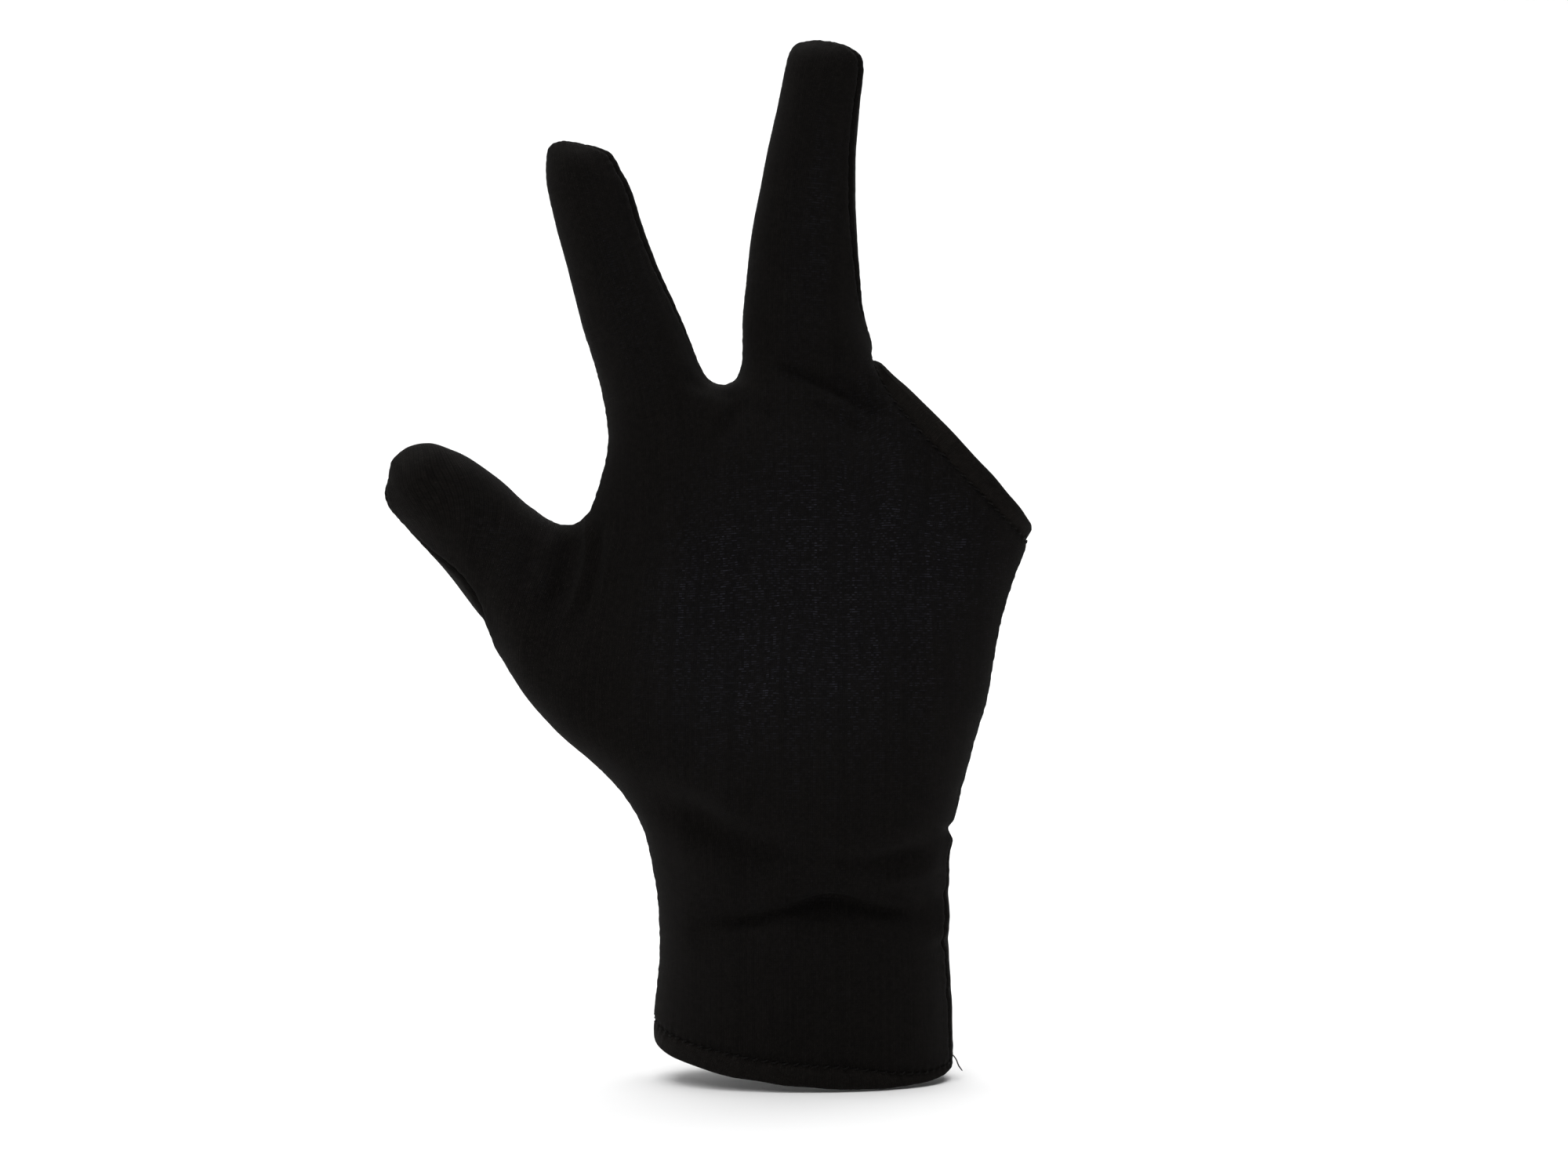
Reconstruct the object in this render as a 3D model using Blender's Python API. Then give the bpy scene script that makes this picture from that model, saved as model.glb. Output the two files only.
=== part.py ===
"""Three-finger ironing glove of stretch knit, in the form that it has on a spread left hand.

The palm faces -Y, the fingers point up +Z and the thumb points to -X. The origin is the centre
of the wrist opening's edge. Two panels, sewn along the outline, carry a hem round the wrist
opening and a hem round the slanting opening for the ring and little finger.

The outer face is one cage of quads. Every section is a ring of the cage: wide rings for the cuff,
the hand and the palm, and rings of eight corners for the thumb, the fingers and the opening. Each
ring has a left and a right seam corner, where the palm side and the back of the hand meet.
"""

from collections import namedtuple
from math import asin, cos, exp, pi, radians, sin, tan

import bmesh
import bpy
from mathutils import Vector

MM = 0.001

# Cloth
WALL = 1.2 * MM
HEM_THICKNESS = 2.4 * MM
SEAM_GAP = 0.34 * MM
CUFF_HEM_WIDTH = 5.5 * MM
OPENING_HEM_WIDTH = 3.8 * MM

# Cuff, from the edge of the wrist opening up to the wrist line
CUFF_HEIGHT = 36.5 * MM
CUFF_DEPTH = 41.0 * MM
WRIST_WIDTH = 62.5 * MM
CUFF_SIDE_TILT = radians(4.8)
CUFF_FRONT_DIP = radians(13.2)

# Hand, from the wrist line up to the bases of the fingers
HAND_DEPTH = 36.0 * MM
PALM_DEPTH = 27.0 * MM

# Crotches: the lowest points between thumb and index, and between index and middle finger
THUMB_CROTCH_OUT = 48.6 * MM
THUMB_CROTCH_RISE = 112.0 * MM
THUMB_WEB = 5.8 * MM
FINGER_CROTCH_OUT = 16.1 * MM
FINGER_CROTCH_RISE = 140.8 * MM
FINGER_WEB = 5.0 * MM

# Thumb and fingers: length from the base ring, width and depth of the base ring
THUMB_LENGTH = 36.2 * MM
THUMB_WIDTH = 23.9 * MM
THUMB_DEPTH = 23.0 * MM
INDEX_LENGTH = 58.5 * MM
INDEX_WIDTH = 22.3 * MM
INDEX_DEPTH = 21.0 * MM
MIDDLE_LENGTH = 70.3 * MM
MIDDLE_WIDTH = 29.0 * MM
MIDDLE_DEPTH = 21.5 * MM

# Slanting opening for the ring and little finger
OPENING_STEP_OUT = -0.2 * MM
OPENING_STEP_RISE = -3.9 * MM
OPENING_LENGTH = 47.3 * MM
OPENING_DEPTH = 25.5 * MM
OPENING_SLANT = radians(46.7)

SMOOTHING_LEVEL = 1
FOLD_STEPS = 4
KNIT_COLOUR = (0.008, 0.0075, 0.007)
HEM_COLOUR = (0.010, 0.0095, 0.009)
PIECES = ("palm_panel", "back_panel", "cuff_hem", "finger_opening_hem")
SIDE_PIECES = {"front": "palm_panel", "back": "back_panel"}

CuffRow = namedtuple("CuffRow", "hem rise width shift tilt dip depth seam_turn")
CUFF_ROWS = (
    CuffRow(hem=0, rise=0.00, width=1.020, shift=0.005, tilt=1.00, dip=1.00, depth=1.00, seam_turn=14),
    CuffRow(hem=1, rise=0.00, width=1.022, shift=0.008, tilt=1.00, dip=1.00, depth=1.00, seam_turn=14),
    CuffRow(hem=0, rise=0.39, width=1.000, shift=0.016, tilt=0.90, dip=0.70, depth=0.98, seam_turn=15),
    CuffRow(hem=0, rise=0.62, width=0.982, shift=0.013, tilt=0.74, dip=0.38, depth=0.96, seam_turn=16),
    CuffRow(hem=0, rise=0.81, width=0.983, shift=0.011, tilt=0.50, dip=0.12, depth=0.94, seam_turn=16),
    CuffRow(hem=0, rise=1.00, width=1.000, shift=0.004, tilt=0.36, dip=0.00, depth=0.92, seam_turn=14),
)
"""Sections of the cuff: hem is a share of CUFF_HEM_WIDTH and rise of CUFF_HEIGHT, both up from the
edge, width and shift are shares of WRIST_WIDTH, tilt of CUFF_SIDE_TILT, dip of CUFF_FRONT_DIP and
depth of CUFF_DEPTH. seam_turn, in degrees, is how far the right seam lies to the front."""

HandRow = namedtuple("HandRow", "left_along left_bow right_along right_bow front back fan seam_turn")
HAND_ROWS = (
    HandRow(0.14, -0.067, 0.11, 0.029, 0.54, 0.505, 0.03, 10),
    HandRow(0.31, -0.070, 0.23, 0.033, 0.56, 0.480, 0.10, 6),
    HandRow(0.48, -0.027, 0.36, 0.037, 0.57, 0.455, 0.22, 2),
    HandRow(0.65, 0.013, 0.49, 0.025, 0.56, 0.430, 0.42, 0),
    HandRow(0.82, 0.017, 0.61, 0.024, 0.53, 0.405, 0.68, 0),
)
"""Sections between the wrist line and the base of the thumb. left_along and left_bow place the left
seam as shares of the straight line from the wrist to the thumb, right_along and right_bow the right
seam as shares of the line from the wrist to the opening. front and back are shares of HAND_DEPTH,
and fan is how far the row has opened towards the thumb's base."""

PalmRow = namedtuple("PalmRow", "left_along left_bow right_along right_bow front back fan")
PALM_ROWS = (
    PalmRow(0.00, 0.000, 0.73, 0.042, 0.55, 0.50, 0.00),
    PalmRow(0.36, -0.066, 0.82, 0.042, 0.52, 0.50, 0.10),
    PalmRow(0.70, -0.100, 0.91, 0.024, 0.49, 0.49, 0.42),
)
"""Sections between the thumb's crotch and the bases of the fingers, read as HandRow is, with the left
seam on the line from the thumb's crotch to the index finger and depths as shares of PALM_DEPTH."""

PALM_COLUMN_PLACES = (-1.0, -0.935, -0.74, -0.49, -0.34, -0.03, 0.25, 0.44, 0.70, 0.90, 1.0)
"""Where the columns of a palm row stand between its left seam, -1, and its right seam, 1."""

DigitRow = namedtuple("DigitRow", "along lean nod width depth seam_turn")
THUMB_ROWS = (
    DigitRow(0.00, -46.0, 2, 1.00, 1.00, 0),
    DigitRow(0.24, -40.5, 10, 0.968, 0.93, 14),
    DigitRow(0.47, -46.2, 16, 0.907, 0.88, 28),
    DigitRow(0.68, -56.6, 20, 0.846, 0.80, 34),
    DigitRow(0.86, -68.9, 22, 0.689, 0.66, 34),
    DigitRow(1.00, -90.9, 22, 0.00, 0.00, 34),
)
INDEX_ROWS = (
    DigitRow(0.00, -13.8, 1, 1.00, 1.00, 0),
    DigitRow(0.14, -19.4, 3, 0.927, 0.95, 8),
    DigitRow(0.28, -20.6, 4, 0.910, 0.90, 16),
    DigitRow(0.42, -19.7, 6, 0.864, 0.86, 22),
    DigitRow(0.56, -16.5, 8, 0.812, 0.82, 24),
    DigitRow(0.70, -16.6, 10, 0.788, 0.76, 24),
    DigitRow(0.83, -13.0, 11, 0.767, 0.68, 24),
    DigitRow(0.93, -11.7, 11, 0.674, 0.56, 22),
    DigitRow(1.00, -16.8, 11, 0.00, 0.00, 22),
)
MIDDLE_ROWS = (
    DigitRow(0.00, -17.0, 1, 1.00, 1.00, 0),
    DigitRow(0.12, -2.0, 2, 0.905, 0.95, 8),
    DigitRow(0.24, 1.0, 4, 0.835, 0.91, 18),
    DigitRow(0.36, 2.0, 6, 0.798, 0.87, 26),
    DigitRow(0.49, 5.4, 7, 0.718, 0.83, 28),
    DigitRow(0.62, 6.1, 8, 0.642, 0.79, 28),
    DigitRow(0.75, 10.3, 9, 0.603, 0.72, 28),
    DigitRow(0.86, 9.2, 10, 0.583, 0.64, 26),
    DigitRow(0.94, 8.1, 10, 0.555, 0.55, 24),
    DigitRow(1.00, 5.7, 10, 0.00, 0.00, 24),
)
"""Sections of the thumb and of each finger. along is a share of its length and width and depth are
shares of its base ring. lean, in degrees, is the way it points, to the right of straight up, nod is
how far it points to the front, and seam_turn is how far its right seam lies to the front."""

Tip = namedtuple("Tip", "half_width left_drop right_drop")
THUMB_TIP = Tip(0.66, -0.01, -0.06)
INDEX_TIP = Tip(0.59, -0.20, 0.24)
MIDDLE_TIP = Tip(0.56, 0.14, 0.18)
"""The seam over each fingertip: half its flat stretch, and how far its two ends lie below its middle,
as shares of the last section's half width."""

OpeningColumn = namedtuple("OpeningColumn", "hem_inward hem_along")
OPENING_COLUMNS = (
    OpeningColumn(0.30, -0.733),
    OpeningColumn(0.85, -0.20),
    OpeningColumn(1.00, 0.00),
    OpeningColumn(0.95, 0.15),
    OpeningColumn(0.75, 0.588),
)
"""Where the hem's stitch line lies from the opening's edge at each column, from the middle finger to
the little finger's side, square to the edge and along it, as shares of OPENING_HEM_WIDTH."""

Form = namedtuple("Form", "side out rise half_width half_height height")
FORMS = (
    Form("front", -0.78, 0.36, 0.30, 0.22, 0.150),
    Form("front", 0.40, 0.36, 0.22, 0.32, 0.090),
    Form("front", -0.20, 0.54, 0.30, 0.22, -0.130),
    Form("front", 0.05, 0.86, 0.60, 0.10, 0.045),
    Form("back", -0.50, 0.93, 0.15, 0.09, 0.050),
    Form("back", 0.02, 0.98, 0.16, 0.09, 0.050),
)
"""Soft swellings and hollows: the ball of the thumb, the heel of the hand, the hollow of the palm, the
pads below the fingers and two knuckles. out is a share of WRIST_WIDTH from the origin, rise a share
of the hand's height above the wrist line, half_width and half_height shares of the same two, and
height a share of PALM_DEPTH, outward."""

Fold = namedtuple("Fold", "side start_out start_rise end_out end_rise half_width height")
FOLDS = (
    Fold("front", -0.32, -0.087, 0.10, -0.044, 0.035, -0.045),
    Fold("front", 0.06, -0.044, 0.41, -0.065, 0.040, -0.085),
    Fold("front", -0.46, 0.158, -0.19, 0.049, 0.055, -0.045),
    Fold("front", 0.31, 0.040, 0.46, 0.068, 0.045, -0.040),
    Fold("front", -0.04, 1.045, 0.24, 0.937, 0.045, -0.050),
    Fold("front", -0.77, 0.700, -0.84, 0.455, 0.040, -0.060),
)
"""Creases in the knit, each along a straight line: two at the wrist, one either side above it, one at
the base of the middle finger and one below the thumb's crotch. Places are shares as in FORMS,
half_width is a share of the hand's height, and height a share of PALM_DEPTH, outward."""

# Columns of one side of a ring, between its two seam corners: two neighbouring digits share a web
# column below their crotch, and the palm's ring meets three digits, the cuff's ring four
DIGIT_COLUMNS = len(OPENING_COLUMNS) - 1
PALM_COLUMNS = len(PALM_COLUMN_PLACES) - 1
CUFF_COLUMNS = DIGIT_COLUMNS - 1 + PALM_COLUMNS


def cage_swell(corners):
    """How much wider than its smooth curve a ring of that many cage corners is."""
    return 6 / (4 + 2 * cos(2 * pi / corners))


class Ring:
    """One section: corner numbers of its front and back columns, sharing both seam corners."""

    def __init__(self, front, back):
        self.front = front
        self.back = back


class Cage:
    """Collects the corners and the quads of the glove's outer face, each quad with its piece."""

    def __init__(self):
        self.corners = []
        self.faces = []
        self.pieces = []

    def corner(self, place):
        self.corners.append(Vector(place))
        return len(self.corners) - 1

    def ring(self, front, back):
        """Adds a ring from its front places, seams included, and its back places between the seams."""
        front_numbers = [self.corner(place) for place in front]
        back_numbers = [self.corner(place) for place in back]
        return Ring(front_numbers, [front_numbers[0], *back_numbers, front_numbers[-1]])

    def face(self, side, corners, piece=None):
        """Adds a face given anticlockwise as seen from the front; a back face is turned round."""
        self.faces.append(tuple(corners) if side == "front" else tuple(reversed(corners)))
        self.pieces.append(piece or SIDE_PIECES[side])

    def band(self, low, high, low_columns, high_columns, piece=None):
        """Joins columns of two rings with quads, front and back."""
        for side in ("front", "back"):
            lower, upper = getattr(low, side), getattr(high, side)
            for (a, b), (c, d) in zip(pairs(low_columns), pairs(high_columns)):
                self.face(side, (lower[a], lower[b], upper[d], upper[c]), piece)

    def web(self, low, low_column, left, left_column, right):
        """Fills the fork between two neighbouring rings: one quad below it and one in the crotch."""
        for side in ("front", "back"):
            lower = getattr(low, side)
            left_ring, right_ring = getattr(left, side), getattr(right, side)
            near, far = left_ring[left_column], left_ring[left_column + 1]
            self.face(side, (lower[low_column], lower[low_column + 1], right_ring[1], near))
            self.face(side, (near, right_ring[1], right_ring[0], far))

    def cap(self, ring, tip):
        """Closes a fingertip along its seam, from one side of the last ring to the other."""
        for side in ("front", "back"):
            edge = getattr(ring, side)
            line = [edge[0], *tip, edge[-1]]
            self.face(side, (edge[0], edge[1], line[1]))
            for k in range(1, len(edge) - 2):
                self.face(side, (edge[k], edge[k + 1], line[k + 1], line[k]))
            self.face(side, (edge[-2], edge[-1], line[-2]))


def pairs(columns):
    return list(zip(columns[:-1], columns[1:]))


def flat(out, rise, lift=0.0):
    """A place in the plane of the spread hand, lift towards the back of the hand."""
    return Vector((out, lift, rise))


def along_line(start, end, along, bow):
    """A place beside a line in the hand's plane; bow is to the left of the way from start to end."""
    way = end - start
    left = Vector((-way.z, 0, way.x))
    return start + way * along + left * bow


def wide_ring(left, right, front, back, places, seam_turn=0.0, dip=0.0):
    """Front and back places of a wide section between two seam places.

    places are the columns' sideways places from -1 to 1 and seam_turn, in degrees, brings the
    right seam to the front. dip is the fall of the section per metre towards the front."""
    middle, half = (left + right) / 2, (right - left) / 2
    swell = cage_swell(2 * (len(places) - 1))
    turn = radians(seam_turn)
    angles = [asin(place) for place in places]
    front_angles = [-pi / 2 + (a + pi / 2) * (pi - turn) / pi for a in angles]
    back_angles = [-pi / 2 - (a + pi / 2) * (pi + turn) / pi for a in angles[1:-1]]

    def place_at(angle):
        lift = -cos(angle) * (front if cos(angle) > 0 else back)
        place = middle + half * sin(angle) * swell + Vector((0, lift * swell, 0))
        return place + Vector((0, 0, dip * lift))

    return [place_at(a) for a in front_angles], [place_at(a) for a in back_angles]


def digit_ring(centre, lean, nod, half_width, half_depth, seam_turn):
    """Front and back places of a round section, square to the way that the digit points."""
    side, forward = ring_axes(lean, nod)
    swell = cage_swell(2 * DIGIT_COLUMNS)
    turn = radians(seam_turn)

    def place_at(column, direction):
        angle = -pi / 2 - turn + direction * pi * column / DIGIT_COLUMNS
        return centre + swell * (side * half_width * sin(angle) + forward * half_depth * cos(angle))

    front = [place_at(k, 1) for k in range(DIGIT_COLUMNS + 1)]
    back = [place_at(k, -1) for k in range(1, DIGIT_COLUMNS)]
    return front, back


def pointing(lean, nod):
    return Vector((sin(lean) * cos(nod), -sin(nod), cos(lean) * cos(nod)))


def ring_axes(lean, nod):
    """The sideways and the forward direction of a section of a digit."""
    side = Vector((cos(lean), 0, -sin(lean)))
    return side, side.cross(pointing(lean, nod))


def add_digit(cage, rows, tip, length, width, depth, anchor, anchor_end):
    """Builds the rings of a thumb or finger up from its base and closes its tip.

    anchor is its base ring's seam place at the crotch, on the left side if anchor_end is -1 and on
    the right if it is 1. Returns the base ring."""
    first = rows[0]
    side, _ = ring_axes(radians(first.lean), radians(first.nod))
    swell = cage_swell(2 * DIGIT_COLUMNS)
    centre = anchor - side * anchor_end * swell * first.width * width / 2
    rings = []
    for row, last in zip(rows, (first, *rows[:-1])):
        lean, nod = radians(row.lean), radians(row.nod)
        way = pointing((lean + radians(last.lean)) / 2, (nod + radians(last.nod)) / 2)
        centre = centre + way * length * (row.along - last.along)
        if row is rows[-1]:
            break
        half_width, half_depth = row.width * width / 2, row.depth * depth / 2
        places = digit_ring(centre, lean, nod, half_width, half_depth, row.seam_turn)
        rings.append(cage.ring(*places))
    columns = range(DIGIT_COLUMNS + 1)
    for low, high in pairs(rings):
        cage.band(low, high, columns, columns)
    cage.cap(rings[-1], [cage.corner(place) for place in tip_places(rows, tip, width, centre)])
    return rings[0]


def tip_places(rows, tip, width, centre):
    """The inner places of the seam over a fingertip, left to right."""
    lean, nod = radians(rows[-1].lean), radians(rows[-1].nod)
    side, forward = ring_axes(lean, nod)
    turn = radians(rows[-1].seam_turn)
    across = side * cos(turn) + forward * sin(turn)
    half = rows[-2].width * width / 2
    return [
        centre + half * (across * tip.half_width * share - pointing(lean, nod) * drop)
        for share, drop in ((-1, tip.left_drop), (0, 0), (1, tip.right_drop))
    ]


def cuff_places():
    """Places of the cuff's sections, from the edge up to the wrist line."""
    columns = [sin(-pi / 2 + pi * k / CUFF_COLUMNS) for k in range(CUFF_COLUMNS + 1)]
    sections = []
    for row in CUFF_ROWS:
        rise = row.hem * CUFF_HEM_WIDTH + row.rise * CUFF_HEIGHT
        middle = flat(row.shift * WRIST_WIDTH, rise)
        tilt = row.tilt * CUFF_SIDE_TILT
        half = flat(cos(tilt), -sin(tilt)) * row.width * WRIST_WIDTH / 2
        half_depth = row.depth * CUFF_DEPTH / 2
        dip = row.dip * tan(CUFF_FRONT_DIP)
        sections.append(
            wide_ring(middle - half, middle + half, half_depth, half_depth, columns, row.seam_turn, dip)
        )
    return sections, columns


def blend(a, b, share):
    return a + (b - a) * share


def fanned(section, plain, forked, share):
    """Moves a section's places by a share of what the fork moved its own plain section by."""
    return tuple(
        [place + (end - start) * share for place, start, end in zip(*sides)]
        for sides in zip(section, plain, forked)
    )


def places_of(cage, front, back):
    """The places of corner numbers, front with both seams and back between them."""
    return [cage.corners[n] for n in front], [cage.corners[n] for n in back]


def add_palm(cage, index, middle, opening, left_start, wrist_right):
    """The palm, from the thumb's crotch up to the bases of the fingers. Returns its lowest ring."""
    base = Ring(
        index.front[:-1] + middle.front[1:-1] + opening.front[1:],
        index.back[:-1] + middle.back[1:-1] + opening.back[1:],
    )
    left_end, right_end = cage.corners[base.front[0]], cage.corners[base.front[-1]]

    def section(row, left, right):
        return wide_ring(left, right, row.front * PALM_DEPTH, row.back * PALM_DEPTH, PALM_COLUMN_PLACES)

    plain = section(PALM_ROWS[-1], left_end, right_end)
    forked = places_of(cage, base.front, base.back[1:-1])
    rings = []
    for row in PALM_ROWS:
        left = along_line(left_start, left_end, row.left_along, row.left_bow)
        right = along_line(wrist_right, right_end, row.right_along, row.right_bow)
        rings.append(cage.ring(*fanned(section(row, left, right), plain, forked, row.fan)))
    columns = range(PALM_COLUMNS + 1)
    for low, high in pairs(rings):
        cage.band(low, high, columns, columns)

    # The top ring's columns up to the index finger's web, up to the middle finger's and from there on
    top, last = rings[-1], DIGIT_COLUMNS - 1
    second = 2 * last
    cage.band(top, index, columns[: last + 1], range(last + 1))
    cage.web(top, last, index, last, middle)
    cage.band(top, middle, columns[last + 1 : second + 1], range(1, last + 1))
    cage.web(top, second, middle, last, opening)
    cage.band(top, opening, columns[second + 1 :], range(1, last + 2))
    return rings[0]


def add_hand(cage, thumb, fork, opening):
    """The cuff and the hand, up to the fork of the thumb and the palm."""
    last = DIGIT_COLUMNS - 1
    cuff, cuff_columns = cuff_places()
    wrist_left, wrist_right = cuff[-1][0][0], cuff[-1][0][-1]
    right_end = cage.corners[opening.front[-1]]
    forked = places_of(
        cage,
        thumb.front[: last + 1] + fork.front[1:],
        thumb.back[1 : last + 1] + fork.back[1:-1],
    )
    thumb_left, fork_right = cage.corners[thumb.front[0]], cage.corners[fork.front[-1]]
    fork_columns = fork_places(forked[0], thumb_left, fork_right)
    depths = HAND_ROWS[-1].front * HAND_DEPTH, HAND_ROWS[-1].back * HAND_DEPTH
    plain = wide_ring(thumb_left, fork_right, *depths, fork_columns)
    rings = [cage.ring(*places) for places in cuff]
    for row in HAND_ROWS:
        left = along_line(wrist_left, thumb_left, row.left_along, row.left_bow)
        right = along_line(wrist_right, right_end, row.right_along, row.right_bow)
        places = [blend(a, b, row.fan) for a, b in zip(cuff_columns, fork_columns)]
        depths = row.front * HAND_DEPTH, row.back * HAND_DEPTH
        section = wide_ring(left, right, *depths, places, row.seam_turn)
        rings.append(cage.ring(*fanned(section, plain, forked, row.fan)))
    columns = range(CUFF_COLUMNS + 1)
    cage.band(rings[0], rings[1], columns, columns, "cuff_hem")
    for low, high in pairs(rings[1:]):
        cage.band(low, high, columns, columns)
    cage.band(rings[-1], thumb, columns[: last + 1], range(last + 1))
    cage.web(rings[-1], last, thumb, last, fork)
    cage.band(rings[-1], fork, columns[last + 1 :], range(1, PALM_COLUMNS + 1))


def build_cage():
    """The whole outer face as a cage of quads."""
    cage = Cage()
    finger_crotch = flat(-FINGER_CROTCH_OUT, FINGER_CROTCH_RISE)
    thumb_crotch = flat(-THUMB_CROTCH_OUT, THUMB_CROTCH_RISE)
    finger_web = flat(FINGER_WEB / 2, 0)
    thumb_web = flat(THUMB_WEB / 2, 0)
    thumb_size = THUMB_LENGTH, THUMB_WIDTH, THUMB_DEPTH
    index_size = INDEX_LENGTH, INDEX_WIDTH, INDEX_DEPTH
    middle_size = MIDDLE_LENGTH, MIDDLE_WIDTH, MIDDLE_DEPTH
    thumb = add_digit(cage, THUMB_ROWS, THUMB_TIP, *thumb_size, thumb_crotch - thumb_web, 1)
    index = add_digit(cage, INDEX_ROWS, INDEX_TIP, *index_size, finger_crotch - finger_web, 1)
    middle = add_digit(cage, MIDDLE_ROWS, MIDDLE_TIP, *middle_size, finger_crotch + finger_web, -1)
    opening, opening_edge = add_opening(cage, cage.corners[middle.front[-1]])
    columns = range(DIGIT_COLUMNS + 1)
    cage.band(opening, opening_edge, columns, columns, "finger_opening_hem")
    wrist_right = cuff_places()[0][-1][0][-1]
    fork = add_palm(cage, index, middle, opening, thumb_crotch + thumb_web, wrist_right)
    add_hand(cage, thumb, fork, opening)
    return cage


def fork_places(front, left, right):
    """Where the fork's columns stand between its two seams, from -1 to 1."""
    way = right - left
    places = [2 * (place - left).dot(way) / way.length_squared - 1 for place in front]
    return [-1.0, *places[1:-1], 1.0]


def add_opening(cage, middle_seam):
    """The ring at the opening's stitch line and the ring at its edge."""
    way = flat(cos(OPENING_SLANT), -sin(OPENING_SLANT))
    outward = flat(sin(OPENING_SLANT), cos(OPENING_SLANT))
    start = middle_seam + flat(OPENING_STEP_OUT, OPENING_STEP_RISE)
    half = OPENING_LENGTH / 2
    swell = cage_swell(2 * DIGIT_COLUMNS)
    centre = start + way * half
    rings = []
    for share in (1, 0):
        front, back = [], []
        for k in range(DIGIT_COLUMNS + 1):
            angle = -pi / 2 + pi * k / DIGIT_COLUMNS
            column = OPENING_COLUMNS[k]
            hem = way * column.hem_along - outward * column.hem_inward
            place = centre + way * half * swell * sin(angle) + hem * share * OPENING_HEM_WIDTH
            lift = Vector((0, cos(angle) * OPENING_DEPTH / 2 * swell, 0))
            front.append(place - lift)
            back.append(place + lift)
        rings.append(cage.ring(front, back[1:-1]))
    return rings


def smooth_surface(cage):
    """The cage's smooth surface. A face's material number is the number of its piece."""
    mesh = bpy.data.meshes.new("glove_surface")
    mesh.from_pydata(cage.corners, [], cage.faces)
    for polygon, piece in zip(mesh.polygons, cage.pieces):
        polygon.material_index = PIECES.index(piece)
    surface = bpy.data.objects.new("glove_surface", mesh)
    bpy.context.scene.collection.objects.link(surface)
    modifier = surface.modifiers.new("smooth", "SUBSURF")
    modifier.levels = modifier.render_levels = SMOOTHING_LEVEL
    smooth = bmesh.new()
    smooth.from_object(surface, bpy.context.evaluated_depsgraph_get())
    bpy.data.objects.remove(surface)
    smooth.normal_update()
    return smooth


def distance_to_line(place, start, end):
    """Distance in the hand's plane from a place to a straight line between two places."""
    way = end - start
    along = (place - start).dot(way) / way.length_squared
    return (place - start - way * min(1, max(0, along))).length


def relief(place, normal):
    """Height of all swellings, hollows and creases at a place, outward."""
    hand_height = FINGER_CROTCH_RISE - CUFF_HEIGHT
    facing = {"front": max(0, -normal.y), "back": max(0, normal.y)}
    out, rise = place.x / WRIST_WIDTH, (place.z - CUFF_HEIGHT) / hand_height
    height = 0
    for form in FORMS:
        sideways = (out - form.out) / form.half_width
        upward = (rise - form.rise) / form.half_height
        height += facing[form.side] * form.height * exp(-(sideways**2) - upward**2)
    for fold in FOLDS:
        start = flat(fold.start_out * WRIST_WIDTH, fold.start_rise * hand_height + CUFF_HEIGHT)
        end = flat(fold.end_out * WRIST_WIDTH, fold.end_rise * hand_height + CUFF_HEIGHT)
        away = distance_to_line(flat(place.x, place.z), start, end) / (fold.half_width * hand_height)
        height += facing[fold.side] * fold.height * exp(-(away**2))
    return height * PALM_DEPTH


def shape_by_relief(smooth):
    moves = [vert.normal * relief(vert.co, vert.normal) for vert in smooth.verts]
    for vert, move in zip(smooth.verts, moves):
        vert.co += move
    smooth.normal_update()


def rim_of(faces):
    """The piece's rim: its edges with the piece on their left seen from outside, joined or free."""
    inside = set(faces)
    joined, free = [], []
    for face in faces:
        for loop in face.loops:
            others = [other for other in loop.edge.link_faces if other is not face]
            if not others:
                free.append((loop.vert, loop.link_loop_next.vert))
            elif others[0] not in inside:
                joined.append((loop.vert, loop.link_loop_next.vert))
    return joined, free


def inward_at(rim):
    """For each vertex of a rim, the way in the surface that leads one metre inside all its edges."""
    ways = {}
    for start, end in rim:
        for vert in (start, end):
            ways.setdefault(vert, []).append(vert.normal.cross(end.co - start.co).normalized())
    inward = {}
    for vert, sides in ways.items():
        first, last = sides[0], sides[-1]
        inward[vert] = (first + last) / (1 + first.dot(last))
    return inward


def piece_mesh(smooth, piece, thickness):
    """One closed solid: the piece's outer face, its inner face and the rim between them.

    Where pieces meet, the rim keeps half the seam's gap. A free rim is a rounded fold."""
    faces = [face for face in smooth.faces if face.material_index == PIECES.index(piece)]
    joined, free = rim_of(faces)
    shift = {vert: way * SEAM_GAP / 2 for vert, way in inward_at(joined).items()}
    fold_ways = inward_at(free)
    radius = thickness / 2
    shift.update({vert: way * radius for vert, way in fold_ways.items()})

    solid = bmesh.new()
    chains = {}
    for vert in dict.fromkeys(vert for face in faces for vert in face.verts):
        outer = vert.co + shift.get(vert, Vector())
        places = [outer, outer - vert.normal * thickness]
        if vert in fold_ways:
            centre = outer - vert.normal * radius
            turns = [pi * step / FOLD_STEPS for step in range(1, FOLD_STEPS)]
            places[1:1] = [
                centre + radius * (vert.normal * cos(turn) - fold_ways[vert] * sin(turn)) for turn in turns
            ]
        chains[vert] = [solid.verts.new(place) for place in places]
    for face in faces:
        solid.faces.new([chains[vert][0] for vert in face.verts])
        solid.faces.new([chains[vert][-1] for vert in reversed(face.verts)])
    for start, end in joined:
        solid.faces.new((chains[end][0], chains[start][0], chains[start][-1], chains[end][-1]))
    for start, end in free:
        for (a, b), (c, d) in zip(pairs(chains[start]), pairs(chains[end])):
            solid.faces.new((c, a, b, d))
    bmesh.ops.triangulate(solid, faces=solid.faces)
    mesh = bpy.data.meshes.new(piece)
    solid.to_mesh(mesh)
    solid.free()
    return mesh


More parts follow.
